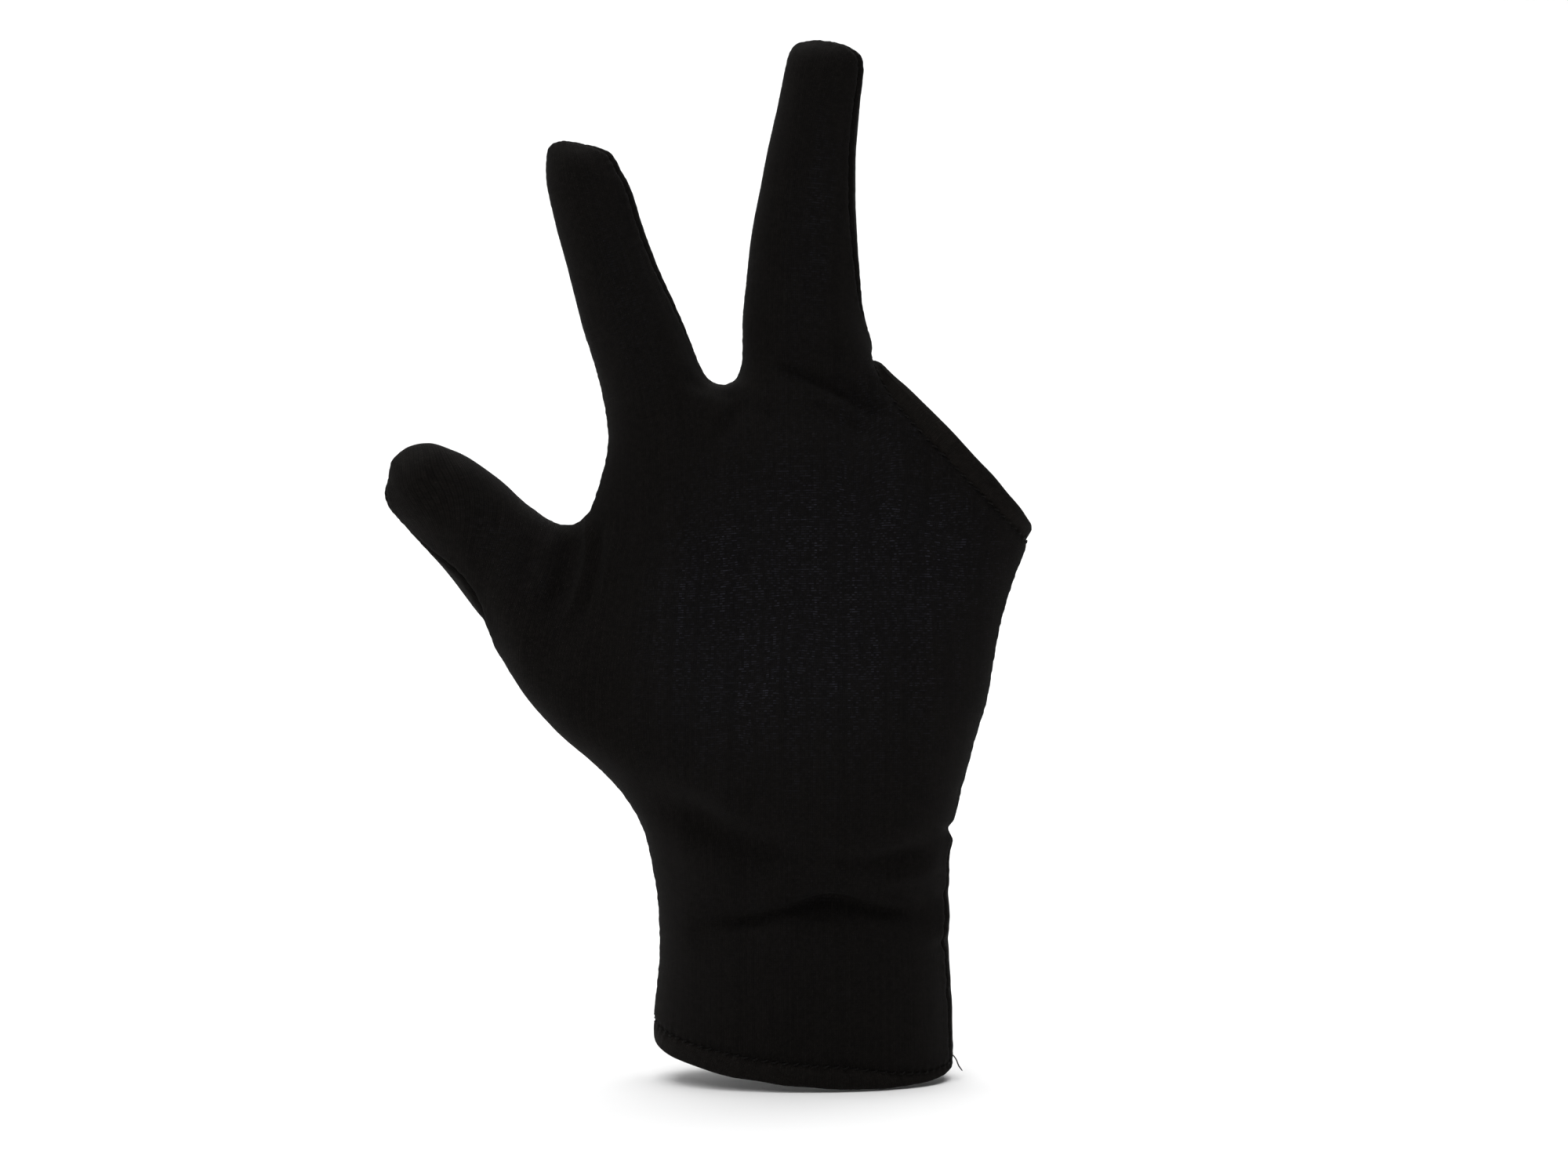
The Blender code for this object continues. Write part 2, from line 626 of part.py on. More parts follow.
def add_piece(smooth, piece, thickness, colour):
    """Makes the piece's node with its own material."""
    thing = bpy.data.objects.new(piece, piece_mesh(smooth, piece, thickness))
    bpy.context.scene.collection.objects.link(thing)
    thing.data.polygons.foreach_set("use_smooth", [True] * len(thing.data.polygons))
    material = bpy.data.materials.new(piece)
    material.use_nodes = True
    shader = material.node_tree.nodes["Principled BSDF"]
    shader.inputs["Base Color"].default_value = (*colour, 1)
    shader.inputs["Roughness"].default_value = 0.9
    thing.data.materials.append(material)
    return thing


def main():
    for thing in list(bpy.data.objects):
        bpy.data.objects.remove(thing)
    smooth = smooth_surface(build_cage())
    shape_by_relief(smooth)
    add_piece(smooth, "palm_panel", WALL, KNIT_COLOUR)
    add_piece(smooth, "back_panel", WALL, KNIT_COLOUR)
    add_piece(smooth, "cuff_hem", HEM_THICKNESS, HEM_COLOUR)
    add_piece(smooth, "finger_opening_hem", HEM_THICKNESS, HEM_COLOUR)
    smooth.free()


if __name__ == "__main__":
    main()
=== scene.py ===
"""Looks of a three-finger ironing glove of fine black stretch knit, dressed over its own solids.

The outer faces of the two panels are read from the solids, joined along the seam, made smooth and
given the creases, puckers and grooves of sewn knit. Each piece is then one closed mesh.
"""

import logging
from dataclasses import dataclass
from enum import Enum
from math import radians

import bmesh
import bpy
import numpy as np
from mathutils import Matrix, Vector, noise
from mathutils.bvhtree import BVHTree
from mathutils.kdtree import KDTree

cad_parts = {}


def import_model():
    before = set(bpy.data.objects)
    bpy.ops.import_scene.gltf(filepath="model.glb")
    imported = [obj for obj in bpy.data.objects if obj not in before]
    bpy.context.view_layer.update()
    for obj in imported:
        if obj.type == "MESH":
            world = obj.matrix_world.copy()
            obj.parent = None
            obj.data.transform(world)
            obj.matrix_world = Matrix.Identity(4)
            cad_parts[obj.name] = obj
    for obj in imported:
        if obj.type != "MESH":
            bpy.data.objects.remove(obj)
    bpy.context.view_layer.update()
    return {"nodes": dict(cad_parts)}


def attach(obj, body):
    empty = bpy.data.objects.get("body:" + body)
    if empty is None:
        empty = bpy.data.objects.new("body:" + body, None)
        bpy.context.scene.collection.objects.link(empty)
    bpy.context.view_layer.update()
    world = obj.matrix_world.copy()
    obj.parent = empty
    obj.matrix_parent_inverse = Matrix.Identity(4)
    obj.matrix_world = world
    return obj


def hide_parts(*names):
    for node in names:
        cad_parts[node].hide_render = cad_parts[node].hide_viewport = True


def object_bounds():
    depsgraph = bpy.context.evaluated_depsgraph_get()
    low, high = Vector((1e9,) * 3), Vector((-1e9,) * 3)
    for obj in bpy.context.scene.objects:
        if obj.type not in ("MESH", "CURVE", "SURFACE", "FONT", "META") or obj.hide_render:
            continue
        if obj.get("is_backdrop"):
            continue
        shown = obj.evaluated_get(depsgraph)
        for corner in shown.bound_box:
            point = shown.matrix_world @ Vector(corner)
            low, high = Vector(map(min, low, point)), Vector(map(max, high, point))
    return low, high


MM = 0.001
BODY = "root"
log = logging.getLogger("ironing_glove")


class Part(Enum):
    """The solids of the glove, by node name."""

    PALM = "palm_panel"
    BACK = "back_panel"
    CUFF_HEM = "cuff_hem"
    OPENING_HEM = "finger_opening_hem"


class Side(Enum):
    """A side of the glove, by the sign of its outward direction along Y."""

    PALM = -1
    BACK = 1


PANELS = {Part.PALM: Side.PALM, Part.BACK: Side.BACK}
WALL = 1.2 * MM
WALE_PITCH = 0.53 * MM
COURSE_PITCH = 0.50 * MM
STITCH_PITCH = 2.1 * MM
GATHER_REACH = 4.5 * MM
KNIT_MAP = "knit"


@dataclass(frozen=True)
class Crease:
    """A fold in the knit along a line in the plane of the hand.

    points are (out, rise) places in millimetres from the origin, half_width and height are in
    millimetres too. A height above zero is a ridge and below zero a valley. fade is the share of
    the line over which each end runs out, and side the side it shows on, or None at the outline."""

    points: tuple[tuple[float, float], ...]
    half_width: float
    height: float
    side: Side | None = Side.PALM
    fade: float = 0.3

    def heights(self, places: np.ndarray, normals: np.ndarray, from_seam: np.ndarray) -> np.ndarray:
        """Returns the fold's height at each vertex, outward.

        Args:
            places: The vertices' places.
            normals: Their normals.
            from_seam: Their distance from the nearest seam between the panels.
        """
        if self.side is None:
            facing = bell(from_seam, GATHER_REACH)
        else:
            facing = smooth_step(normals[:, 1] * self.side.value * 2.2 + 0.1)
        away, share = distance_to_polyline(places[:, [0, 2]], rounded(np.array(self.points) * MM))
        ends = smooth_step(share / self.fade) * smooth_step((1 - share) / self.fade)
        return facing * ends * self.height * MM * bell(away, self.half_width * MM)


WRIST_CREASES = (
    Crease(((-23, 27.8), (-12, 28.8), (-2, 32), (7.5, 34.2), (15.5, 31), (27, 30.2)), 1.3, -1.6, fade=0.22),
    Crease(((-18, 33.5), (-4, 35.5), (8, 37.6), (20, 35.5)), 2.6, 0.55),
    Crease(((-12, 25.5), (2, 28), (12, 28.6), (24, 26.8)), 2.2, 0.45),
    Crease(((-31, 56), (-22, 50), (-9, 44.5), (4, 42.5)), 3.2, -2.1),
    Crease(((-32, 63), (-22, 57.5), (-8, 52)), 4.2, 0.9),
    Crease(((-30, 47), (-20, 42), (-8, 39)), 3.4, 0.6),
    Crease(((2, 42.6), (14, 41.6), (29.5, 45)), 1.9, -1),
    Crease(((14, 36.6), (24.3, 38.9), (30.5, 40.8)), 1.9, 0.75),
    Crease(((-24, 20), (-10, 21.5), (4, 19.5)), 3.6, -0.25),
)
FINGER_BASE_CREASES = (
    Crease(((-6.5, 145.8), (4, 141.3), (11, 137.8), (18.5, 133.4)), 1.5, -1.6, fade=0.18),
    Crease(((-3, 142), (6, 137.6), (16, 132)), 1.5, 0.5),
    Crease(((0, 137), (9, 133.2), (18, 128)), 1.7, -0.6),
    Crease(((-27, 143), (-18, 139.5), (-10, 137.5)), 1.8, -0.6),
    Crease(((-16, 133), (-4, 135), (8, 131.5)), 2.4, -0.45),
    Crease(((-30, 136), (-22, 130), (-14, 126)), 2.6, -0.35),
    Crease(((-11, 138.5), (-14.5, 133.5), (-19, 129)), 1.7, -0.9),
    Crease(((-8.5, 138.5), (-5.5, 132.5), (-1, 128)), 1.6, -0.75),
)
THUMB_BASE_CREASES = (
    Crease(((-45.9, 115.5), (-44.6, 107), (-46.8, 96.5), (-50.8, 88.5)), 0.85, 1.15, fade=0.22),
    Crease(((-49.4, 112.5), (-48.6, 104), (-51, 96), (-55, 89.5)), 2.1, -1.35),
    Crease(((-43.2, 113.5), (-42.2, 106), (-43.8, 97), (-47.5, 89.5)), 1.1, -0.95),
    Crease(((-40, 112), (-39.6, 105), (-41.5, 98)), 1.8, 0.5),
    Crease(((-54, 110), (-53, 103), (-55.5, 96)), 1.8, 0.55),
    Crease(((-57.5, 109.5), (-56.8, 103.5), (-59, 98)), 1.6, -0.5),
    Crease(((-54, 84), (-44, 74), (-34, 68)), 4, -0.4),
)
SEAM_GATHERS = (
    Crease(((25, 49.5), (33, 47.2)), 1.2, -1.15, None, 0.1),
    Crease(((25, 44.2), (33.5, 44.8)), 1.5, 0.55, None, 0.1),
    Crease(((25, 22.6), (34, 24.2)), 1.3, -0.8, None, 0.1),
    Crease(((25, 34.5), (34, 33)), 1.4, -0.4, None, 0.1),
    Crease(((25, 29), (34, 28.8)), 1.5, 0.3, None, 0.1),
    Crease(((25, 58.5), (34, 56)), 1.5, -0.4, None, 0.1),
    Crease(((25, 12.5), (34, 13.5)), 1.6, -0.3, None, 0.1),
)
BACK_CREASES = (
    Crease(((-22, 40), (-8, 38), (6, 41), (24, 41)), 2, -0.8, Side.BACK),
    Crease(((-18, 35), (4, 36.5), (22, 35)), 2.2, 0.5, Side.BACK),
    Crease(((-20, 30.5), (0, 31.5), (20, 30)), 1.6, -0.7, Side.BACK),
    Crease(((-50, 104), (-54, 92)), 2, -0.6, Side.BACK),
    Crease(((-46, 106), (-49, 94)), 1.4, 0.5, Side.BACK),
    Crease(((-24, 141), (-12, 137)), 1.8, -0.4, Side.BACK),
    Crease(((0, 143), (12, 137)), 1.8, -0.5, Side.BACK),
)
CREASES = (
    *WRIST_CREASES, *FINGER_BASE_CREASES, *THUMB_BASE_CREASES, *SEAM_GATHERS, *BACK_CREASES
)


@dataclass(frozen=True)
class WaleLean:
    """How far, in degrees, the wales lean to the right of straight up at an (out, rise) place in mm."""

    out: float
    rise: float
    lean: float


WALE_LEANS = (
    WaleLean(-25, 8, -2),
    WaleLean(25, 8, 1),
    WaleLean(0, 40, 0),
    WaleLean(-30, 75, 4),
    WaleLean(0, 80, 0),
    WaleLean(30, 90, 1),
    WaleLean(-25, 120, -5),
    WaleLean(8, 128, -1),
    WaleLean(35, 118, 3),
    WaleLean(-34, 145, -15),
    WaleLean(-42, 168, -18),
    WaleLean(-48, 188, -14),
    WaleLean(0, 150, 1),
    WaleLean(2, 175, 4),
    WaleLean(6, 202, 7),
    WaleLean(-48, 88, 7),
    WaleLean(-62, 100, 14),
    WaleLean(-72, 108, 16),
    WaleLean(-80, 114, 16),
)
LEAN_REACH = 14 * MM


@dataclass(frozen=True)
class StretchedPlace:
    """A place where the knit is pulled open, so that its open tone and the painted glints on its filaments
    show.

    out and rise are its middle in mm, wide and high its half sizes in mm, lean its tilt to the right
    in degrees and share how strongly it shows."""

    out: float
    rise: float
    wide: float
    high: float
    lean: float
    share: float
    side: Side = Side.PALM

    def shares(self, places: np.ndarray, normals: np.ndarray) -> np.ndarray:
        """Returns how open the knit is at each vertex."""
        turn = radians(self.lean)
        x, z = places[:, 0] - self.out * MM, places[:, 2] - self.rise * MM
        across = (x * np.cos(turn) - z * np.sin(turn)) / (self.wide * MM)
        along = (x * np.sin(turn) + z * np.cos(turn)) / (self.high * MM)
        facing = smooth_step(normals[:, 1] * self.side.value * 1.6)
        return self.share * facing * np.exp(-((across**2 + along**2) ** 1.3))


STRETCHED_PLACES = (
    StretchedPlace(3, 97, 25, 30, 0, 1.0),
    StretchedPlace(-20, 88, 12, 22, 6, 0.7),
    StretchedPlace(27, 106, 13, 12, 0, 0.8),
    StretchedPlace(8, 92, 36, 42, 0, 0.25),
    StretchedPlace(2, 172, 5, 26, 5, 0.45),
    StretchedPlace(-36, 158, 5, 24, -15, 0.30),
    StretchedPlace(-62, 107, 14, 5, 55, 0.25),
    StretchedPlace(20, 133, 12, 14, -40, 0.35),
    StretchedPlace(0, 28, 26, 20, 0, 0.12),
    StretchedPlace(5, 100, 30, 36, 0, 0.6, Side.BACK),
    StretchedPlace(2, 165, 6, 34, 5, 0.5, Side.BACK),
    StretchedPlace(-37, 160, 6, 26, -15, 0.5, Side.BACK),
)
STRETCH = "stretch"


def smooth_step(value: np.ndarray) -> np.ndarray:
    """Returns the value's smooth step from 0 to 1."""
    value = np.clip(value, 0.0, 1.0)
    return value * value * (3.0 - 2.0 * value)


def bell(distance: np.ndarray, width: float) -> np.ndarray:
    """Returns a bell curve of that half width, 1 at no distance."""
    return np.exp(-((distance / width) ** 2))


def coordinates(mesh: bpy.types.Mesh) -> np.ndarray:
    """Returns the mesh's vertex places, one row each."""
    values = np.zeros(len(mesh.vertices) * 3)
    mesh.vertices.foreach_get("co", values)
    return values.reshape(-1, 3)


def normals_of(mesh: bpy.types.Mesh) -> np.ndarray:
    """Returns the mesh's vertex normals, one row each."""
    values = np.zeros(len(mesh.vertices) * 3)
    mesh.vertex_normals.foreach_get("vector", values)
    return values.reshape(-1, 3)


def place_tree(places: np.ndarray) -> KDTree:
    """Returns a tree of the places, by row number."""
    tree = KDTree(len(places))
    for number, place in enumerate(places):
        tree.insert(place, number)
    tree.balance()
    return tree


def rounded(points: np.ndarray, rounds: int = 2) -> np.ndarray:
    """Returns a line with its corners cut, its two ends in place."""
    for _ in range(rounds):
        near, far = points[:-1], points[1:]
        cut = np.stack([0.75 * near + 0.25 * far, 0.25 * near + 0.75 * far], 1).reshape(-1, 2)
        points = np.concatenate([points[:1], cut[1:-1], points[-1:]])
    return points


def distance_to_polyline(places: np.ndarray, points: np.ndarray) -> tuple[np.ndarray, np.ndarray]:
    """Measures how far places in a plane lie from a line of points.

    Args:
        places: The places, one (x, z) row each.
        points: The line's points, one (x, z) row each.

    Returns:
        The distance of each place, and the share of the line's length at its nearest point.
    """
    best = np.full(len(places), np.inf)
    along = np.zeros(len(places))
    gone = 0.0
    for start, end in zip(points[:-1], points[1:]):
        way = end - start
        length = float(np.hypot(*way))
        share = np.clip((places - start) @ way / length**2, 0.0, 1.0)
        away = np.hypot(*(places - start - share[:, None] * way).T)
        nearer = away < best
        best = np.where(nearer, away, best)
        along = np.where(nearer, gone + share * length, along)
        gone += length
    return best, along / gone


def made_mesh(name: str, work: bmesh.types.BMesh) -> bpy.types.Mesh:
    """Returns a mesh made of the working mesh, which is freed."""
    mesh = bpy.data.meshes.new(name)
    work.to_mesh(mesh)
    work.free()
    return mesh


class Solids:
    """The solids of the frame as welded meshes."""

    WELD = 0.002 * MM
    SEAM_REACH = 0.45 * MM
    RIM_REACH = 0.9 * MM
    RIM_FACING = 0.45

    def __init__(self, nodes: dict[str, bpy.types.Object]) -> None:
        """Welds the nodes' meshes."""
        self.meshes: dict[Part, bmesh.types.BMesh] = {}
        for part in Part:
            mesh = bmesh.new()
            mesh.from_mesh(nodes[part.value].data)
            bmesh.ops.remove_doubles(mesh, verts=mesh.verts, dist=self.WELD)
            mesh.normal_update()
            self.meshes[part] = mesh
        self.trees = {part: BVHTree.FromBMesh(mesh) for part, mesh in self.meshes.items()}
        self.places = {
            part: place_tree([vert.co for vert in mesh.verts]) for part, mesh in self.meshes.items()
        }

    @property
    def cuff_joint(self) -> np.ndarray:
        """The places of the joint between the cuff hem and the panels."""
        sheet = self.sheet(Part.CUFF_HEM)
        places = np.array([vert.co for vert in sheet.verts if vert.is_boundary])
        centre = places.mean(0)
        reach = np.linalg.norm((places - centre)[:, :2] / np.ptp(places[:, :2], axis=0), axis=1)
        outer = places[reach > np.median(reach)]
        sheet.free()
        return outer

    def rim_faces(self, part: Part) -> list[int]:
        """Returns the numbers of a solid's rim faces, which look straight at another solid close by."""
        others = [tree for other, tree in self.trees.items() if other is not part]
        rims = []
        for face in self.meshes[part].faces:
            centre = face.calc_center_median()
            for tree in others:
                near, _, _, away = tree.find_nearest(centre, self.RIM_REACH)
                if near is not None and (near - centre).dot(face.normal) > self.RIM_FACING * away:
                    rims.append(face.index)
                    break
        return rims

    def meeting_place(self, part: Part, place: Vector) -> Vector:
        """Returns the middle of a rim place and the rim places of its neighbours."""
        found = [place]
        for other, tree in self.places.items():
            near, _, away = tree.find(place)
            if other is not part and away < self.SEAM_REACH:
                found.append(near)
        return sum(found, Vector()) / len(found)

    def sheet(self, part: Part) -> bmesh.types.BMesh:
        """Takes the cloth's face from a solid: a panel's outer face, or a hem's outside, fold and inside.

        Args:
            part: The solid.

        Returns:
            An open mesh, its edge moved to the middle of the gap to its neighbours.
        """
        mesh = self.meshes[part].copy()
        mesh.faces.ensure_lookup_table()
        rims = [mesh.faces[number] for number in self.rim_faces(part)]
        bmesh.ops.delete(mesh, geom=rims, context="FACES_ONLY")
        sheets = self._joined_faces(mesh)
        expected = 2 if part in PANELS else 1
        if len(sheets) != expected:
            log.warning("%s has %d sheets, not %d", part.value, len(sheets), expected)
        areas = [sum(face.calc_area() for face in sheet) for sheet in sheets]
        kept = set(sheets[areas.index(max(areas))])
        bmesh.ops.delete(mesh, geom=[f for f in mesh.faces if f not in kept], context="FACES")
        bmesh.ops.delete(mesh, geom=[v for v in mesh.verts if not v.link_faces], context="VERTS")
        for vert in [vert for vert in mesh.verts if vert.is_boundary]:
            vert.co = self.meeting_place(part, vert.co)
        return mesh

    @staticmethod
    def _joined_faces(mesh: bmesh.types.BMesh) -> list[list[bmesh.types.BMFace]]:
        """Returns the mesh's faces as lists of joined faces."""
        left = set(mesh.faces)
        sheets = []
        while left:
            todo = [left.pop()]
            sheet = []
            while todo:
                face = todo.pop()
                sheet.append(face)
                for edge in face.edges:
                    for other in edge.link_faces:
                        if other in left:
                            left.discard(other)
                            todo.append(other)
            sheets.append(sheet)
        return sheets


def quads_from_triangles(mesh: bmesh.types.BMesh) -> None:
    """Joins pairs of triangles of one piece to quads."""
    bmesh.ops.join_triangles(
        mesh,
        faces=mesh.faces,
        cmp_materials=True,
        angle_face_threshold=radians(50),
        angle_shape_threshold=radians(70),
    )


class Smoother:
    """Subdivides a mesh so that the smooth one still passes through its vertices."""

    PASSES = 3

    def __init__(self, levels: int) -> None:
        """Sets how often the mesh is subdivided."""
        self.levels = levels

    @staticmethod
    def _evaluated(mesh: bpy.types.Mesh, levels: int) -> bpy.types.Mesh:
        """Returns the mesh subdivided by that many levels."""
        thing = bpy.data.objects.new("smooth_work", mesh)
        bpy.context.scene.collection.objects.link(thing)
        modifier = thing.modifiers.new("smooth", "SUBSURF")
        modifier.levels = modifier.render_levels = levels
        depsgraph = bpy.context.evaluated_depsgraph_get()
        result = bpy.data.meshes.new_from_object(thing.evaluated_get(depsgraph), depsgraph=depsgraph)
        bpy.data.objects.remove(thing)
        return result

    def smooth(self, mesh: bpy.types.Mesh) -> bpy.types.Mesh:
        """Makes the smooth mesh.

        Args:
            mesh: The mesh to subdivide, whose vertices this moves.

        Returns:
            The subdivided mesh, whose first vertices are the given ones.
        """
        aims = coordinates(mesh)
        cage = aims.copy()
        for _ in range(self.PASSES):
            result = self._evaluated(mesh, 1)
            cage += aims - coordinates(result)[: len(aims)]
            bpy.data.meshes.remove(result)
            mesh.vertices.foreach_set("co", cage.ravel())
            mesh.update()
        return self._evaluated(mesh, self.levels)


class KnitMap:
    """Lays the wales and courses of the knit over a mesh, evenly spaced and along their lean."""

    ROUNDS = 600

    @staticmethod
    def _across_and_along(place: np.ndarray, normal: np.ndarray) -> tuple[np.ndarray, np.ndarray]:
        """Returns the directions of the courses and of the wales at places of the surface."""
        spots = np.array([(row.out, row.rise) for row in WALE_LEANS]) * MM
        leans = np.radians([row.lean for row in WALE_LEANS])
        away = np.hypot(place[:, None, 0] - spots[:, 0], place[:, None, 2] - spots[:, 1])
        weight = np.exp(-((away / LEAN_REACH) ** 2)) + 1e-9 / (away / LEAN_REACH + 0.1) ** 2
        lean = (weight * leans).sum(1) / weight.sum(1)
        along = np.stack([np.sin(lean), np.zeros_like(lean), np.cos(lean)], 1)
        along -= normal * (along * normal).sum(1)[:, None]
        along /= np.linalg.norm(along, axis=1)[:, None] + 1e-6
        return np.cross(along, normal), along

    def lay(self, mesh: bmesh.types.BMesh, faces: list[bmesh.types.BMFace]) -> None:
        """Writes the knit map of the faces: wales counted across and courses counted up.

        Args:
            mesh: The mesh that holds the faces.
            faces: The faces of one piece.
        """
        layer = mesh.loops.layers.uv.get(KNIT_MAP) or mesh.loops.layers.uv.new(KNIT_MAP)
        verts = list({vert for face in faces for vert in face.verts})
        number = {vert: index for index, vert in enumerate(verts)}
        edges = list({edge for face in faces for edge in face.edges})
        ends = np.array([(number[e.verts[0]], number[e.verts[1]]) for e in edges])
        places = np.array([vert.co for vert in verts])
        normals = np.array([vert.normal for vert in verts])
        across, along = self._across_and_along(places, normals)
        way = places[ends[:, 1]] - places[ends[:, 0]]
        counts = []
        for direction, pitch in ((across, WALE_PITCH), (along, COURSE_PITCH)):
            middle = (direction[ends[:, 0]] + direction[ends[:, 1]]) / 2
            counts.append(self._even_field(len(verts), ends, (middle * way).sum(1)) / pitch)
        for face in faces:
            for loop in face.loops:
                index = number[loop.vert]
                loop[layer].uv = (counts[0][index], counts[1][index])

    def _even_field(self, count: int, ends: np.ndarray, steps: np.ndarray) -> np.ndarray:
        """Finds the values whose differences along the edges come nearest to the wanted steps.

        Args:
            count: Number of vertices.
            ends: Each edge's two vertex numbers.
            steps: The wanted rise of the value along each edge.

        Returns:
            The value at each vertex, found by conjugate gradients.
        """

        def gathered(flow: np.ndarray) -> np.ndarray:
            return np.bincount(ends[:, 1], flow, count) - np.bincount(ends[:, 0], flow, count)

        value = np.zeros(count)
        rest = gathered(steps)
        search = rest.copy()
        size = rest @ rest
        for _ in range(self.ROUNDS):
            spread = gathered(search[ends[:, 1]] - search[ends[:, 0]])
            pace = size / max(search @ spread, 1e-30)
            value += pace * search
            rest -= pace * spread
            new_size = rest @ rest
            if new_size < 1e-18:
                break
            search = rest + search * new_size / size
            size = new_size
        return value - value.mean()


@dataclass
class Line:
    """A run of places on the smooth surface, with the length gone at each and the way outward."""

    vertices: np.ndarray
    places: np.ndarray
    lengths: np.ndarray
    closed: bool
    rest: np.ndarray

    @classmethod
    def walked(cls, edges: list[tuple[int, int]], places: np.ndarray) -> list["Line"]:
        """Orders edges to runs.

        Args:
            edges: Pairs of vertex numbers.
            places: The places of all vertices.

        Returns:
            One line for each run, open ones from one end to the other.
        """
        near: dict[int, list[int]] = {}
        for a, b in edges:
            near.setdefault(a, []).append(b)
            near.setdefault(b, []).append(a)
        starts = sorted(v for v, others in near.items() if len(others) == 1)
        left = set(near)
        lines = []
        for start in [*starts, *sorted(near)]:
            if start not in left:
                continue
            run = [start]
            left.discard(start)
            while True:
                step = [v for v in near[run[-1]] if v in left]
                if not step:
                    break
                run.append(step[0])
                left.discard(step[0])
            closed = len(near[start]) == 2
            order = np.array(run)
            points = places[order]
            gaps = np.linalg.norm(np.diff(points, axis=0), axis=1)
            lines.append(cls(order, points, np.concatenate([[0.0], np.cumsum(gaps)]), closed, points))
        return lines

    @property
    def length(self) -> float:
        """The line's whole length."""
        close = np.linalg.norm(self.places[0] - self.places[-1]) if self.closed else 0.0
        return float(self.lengths[-1] + close)


@dataclass
class Nearness:
    """How far vertices lie from a set of lines, and the length gone at the nearest line place."""

    distance: np.ndarray
    length: np.ndarray

    @classmethod
    def to_lines(cls, places: np.ndarray, lines: list[Line], reach: float) -> "Nearness":
        """Measures the places against the lines; beyond the reach the distance is just large."""
        rest = np.concatenate([line.rest for line in lines])
        tree = place_tree(rest)
        gone = np.concatenate([line.lengths for line in lines])
        distance = np.full(len(places), 1.0)
        length = np.zeros(len(places))
        low, high = rest.min(0) - reach, rest.max(0) + reach
        for number in np.flatnonzero(((places > low) & (places < high)).all(1)):
            _, nearest, away = tree.find(places[number])
            distance[number] = away
            length[number] = gone[nearest]
        return cls(distance, length)


@dataclass(frozen=True)
class SewnRelief:
    """Heights of a seam or a stitch row in the knit, in metres.

    groove sinks the line itself, swell lifts the knit beside it, pucker is the height of the gathers
    that run out from it and stitch the depth of a dimple under each stitch."""

    groove: float
    groove_width: float
    swell: float
    swell_away: float
    pucker: float
    pucker_length: float
    pucker_reach: float
    stitch: float = 0.0
    stitch_pitch: float = STITCH_PITCH

    def heights(self, near: Nearness, phase: float) -> np.ndarray:
        """Returns the height at each vertex.

        Args:
            near: The vertices' distance from the line and the length gone there.
            phase: Where the gathers begin, so that two sides of a seam differ.
        """
        away, gone = near.distance, near.length
        turn = 2 * np.pi * gone / self.pucker_length + phase
        wave = np.sin(turn + 1.3 * np.sin(turn * 0.37)) + 0.5 * np.sin(turn * 2.3 + phase)
        height = -self.groove * bell(away, self.groove_width)
        height += self.swell * bell(away - self.swell_away, self.swell_away * 0.7)
        height += self.pucker * wave * np.exp(-away / self.pucker_reach)
        dimple = 0.5 - 0.5 * np.cos(2 * np.pi * gone / self.stitch_pitch)
        height -= self.stitch * dimple * bell(away, self.groove_width * 1.6)
        return height


OUTLINE_SEAM = SewnRelief(
    groove=0.55 * MM,
    groove_width=0.55 * MM,
    swell=0.16 * MM,
    swell_away=1.5 * MM,
    pucker=0.10 * MM,
    pucker_length=3.4 * MM,
    pucker_reach=2.2 * MM,
)
STITCHED_HEM = SewnRelief(
    groove=0.22 * MM,
    groove_width=0.75 * MM,
    swell=0.12 * MM,
    swell_away=1.6 * MM,
    pucker=0.06 * MM,
    pucker_length=5.3 * MM,
    pucker_reach=2.0 * MM,
    stitch=0.26 * MM,
)


def softness(places: np.ndarray, scale: float, height: float, seed: float) -> np.ndarray:
    """Returns gentle unevenness: smooth noise of that scale and height at each place."""
    shift = Vector((seed, 2 * seed, 3 * seed))
    values = [noise.noise(Vector(place) / scale + shift) for place in places]
    return np.array(values) * height


@dataclass(frozen=True)
class ThumbTurn:
    """Turn of the knit round the thumb, which brings the seam of its outer side into view.

    start and end are places on the thumb's middle line in metres, degrees the turn at its tip, ramp
    the share of the way over which it sets in, and reach how far from that line it works."""

    start: Vector
    end: Vector
    degrees: float
    ramp: float
    reach: float = 17 * MM

    def turn(self, mesh: bmesh.types.BMesh, surface: BVHTree) -> None:
        """Slides the mesh's vertices round the thumb, on the given surface."""
        way = self.end - self.start
        length = way.length
        way.normalize()
        for vert in mesh.verts:
            from_start = vert.co - self.start
            gone = from_start.dot(way) / length
            if gone <= 0 or (from_start - way * gone * length).length > self.reach:
                continue
            share = float(smooth_step(np.array(gone / self.ramp)))
            rotation = Matrix.Rotation(radians(self.degrees) * share, 3, way)
            vert.co = surface.find_nearest(self.start + rotation @ from_start)[0]


@dataclass(frozen=True)
class TipSlope:
    """Slope of a fingertip's end, in mm: it falls away from middle_out by fall for each mm further
    out, for all that lies above from_rise, within left and right."""

    middle_out: float
    from_rise: float
    over: float
    fall: float
    left: float
    right: float

    def slope(self, mesh: bmesh.types.BMesh) -> None:
        """Lowers the mesh's vertices along the slope."""
        for vert in mesh.verts:
            if self.left * MM < vert.co.x < self.right * MM and vert.co.z > self.from_rise * MM:
                share = smooth_step(np.array((vert.co.z / MM - self.from_rise) / self.over))
                vert.co.z -= float(share) * self.fall * (vert.co.x - self.middle_out * MM)


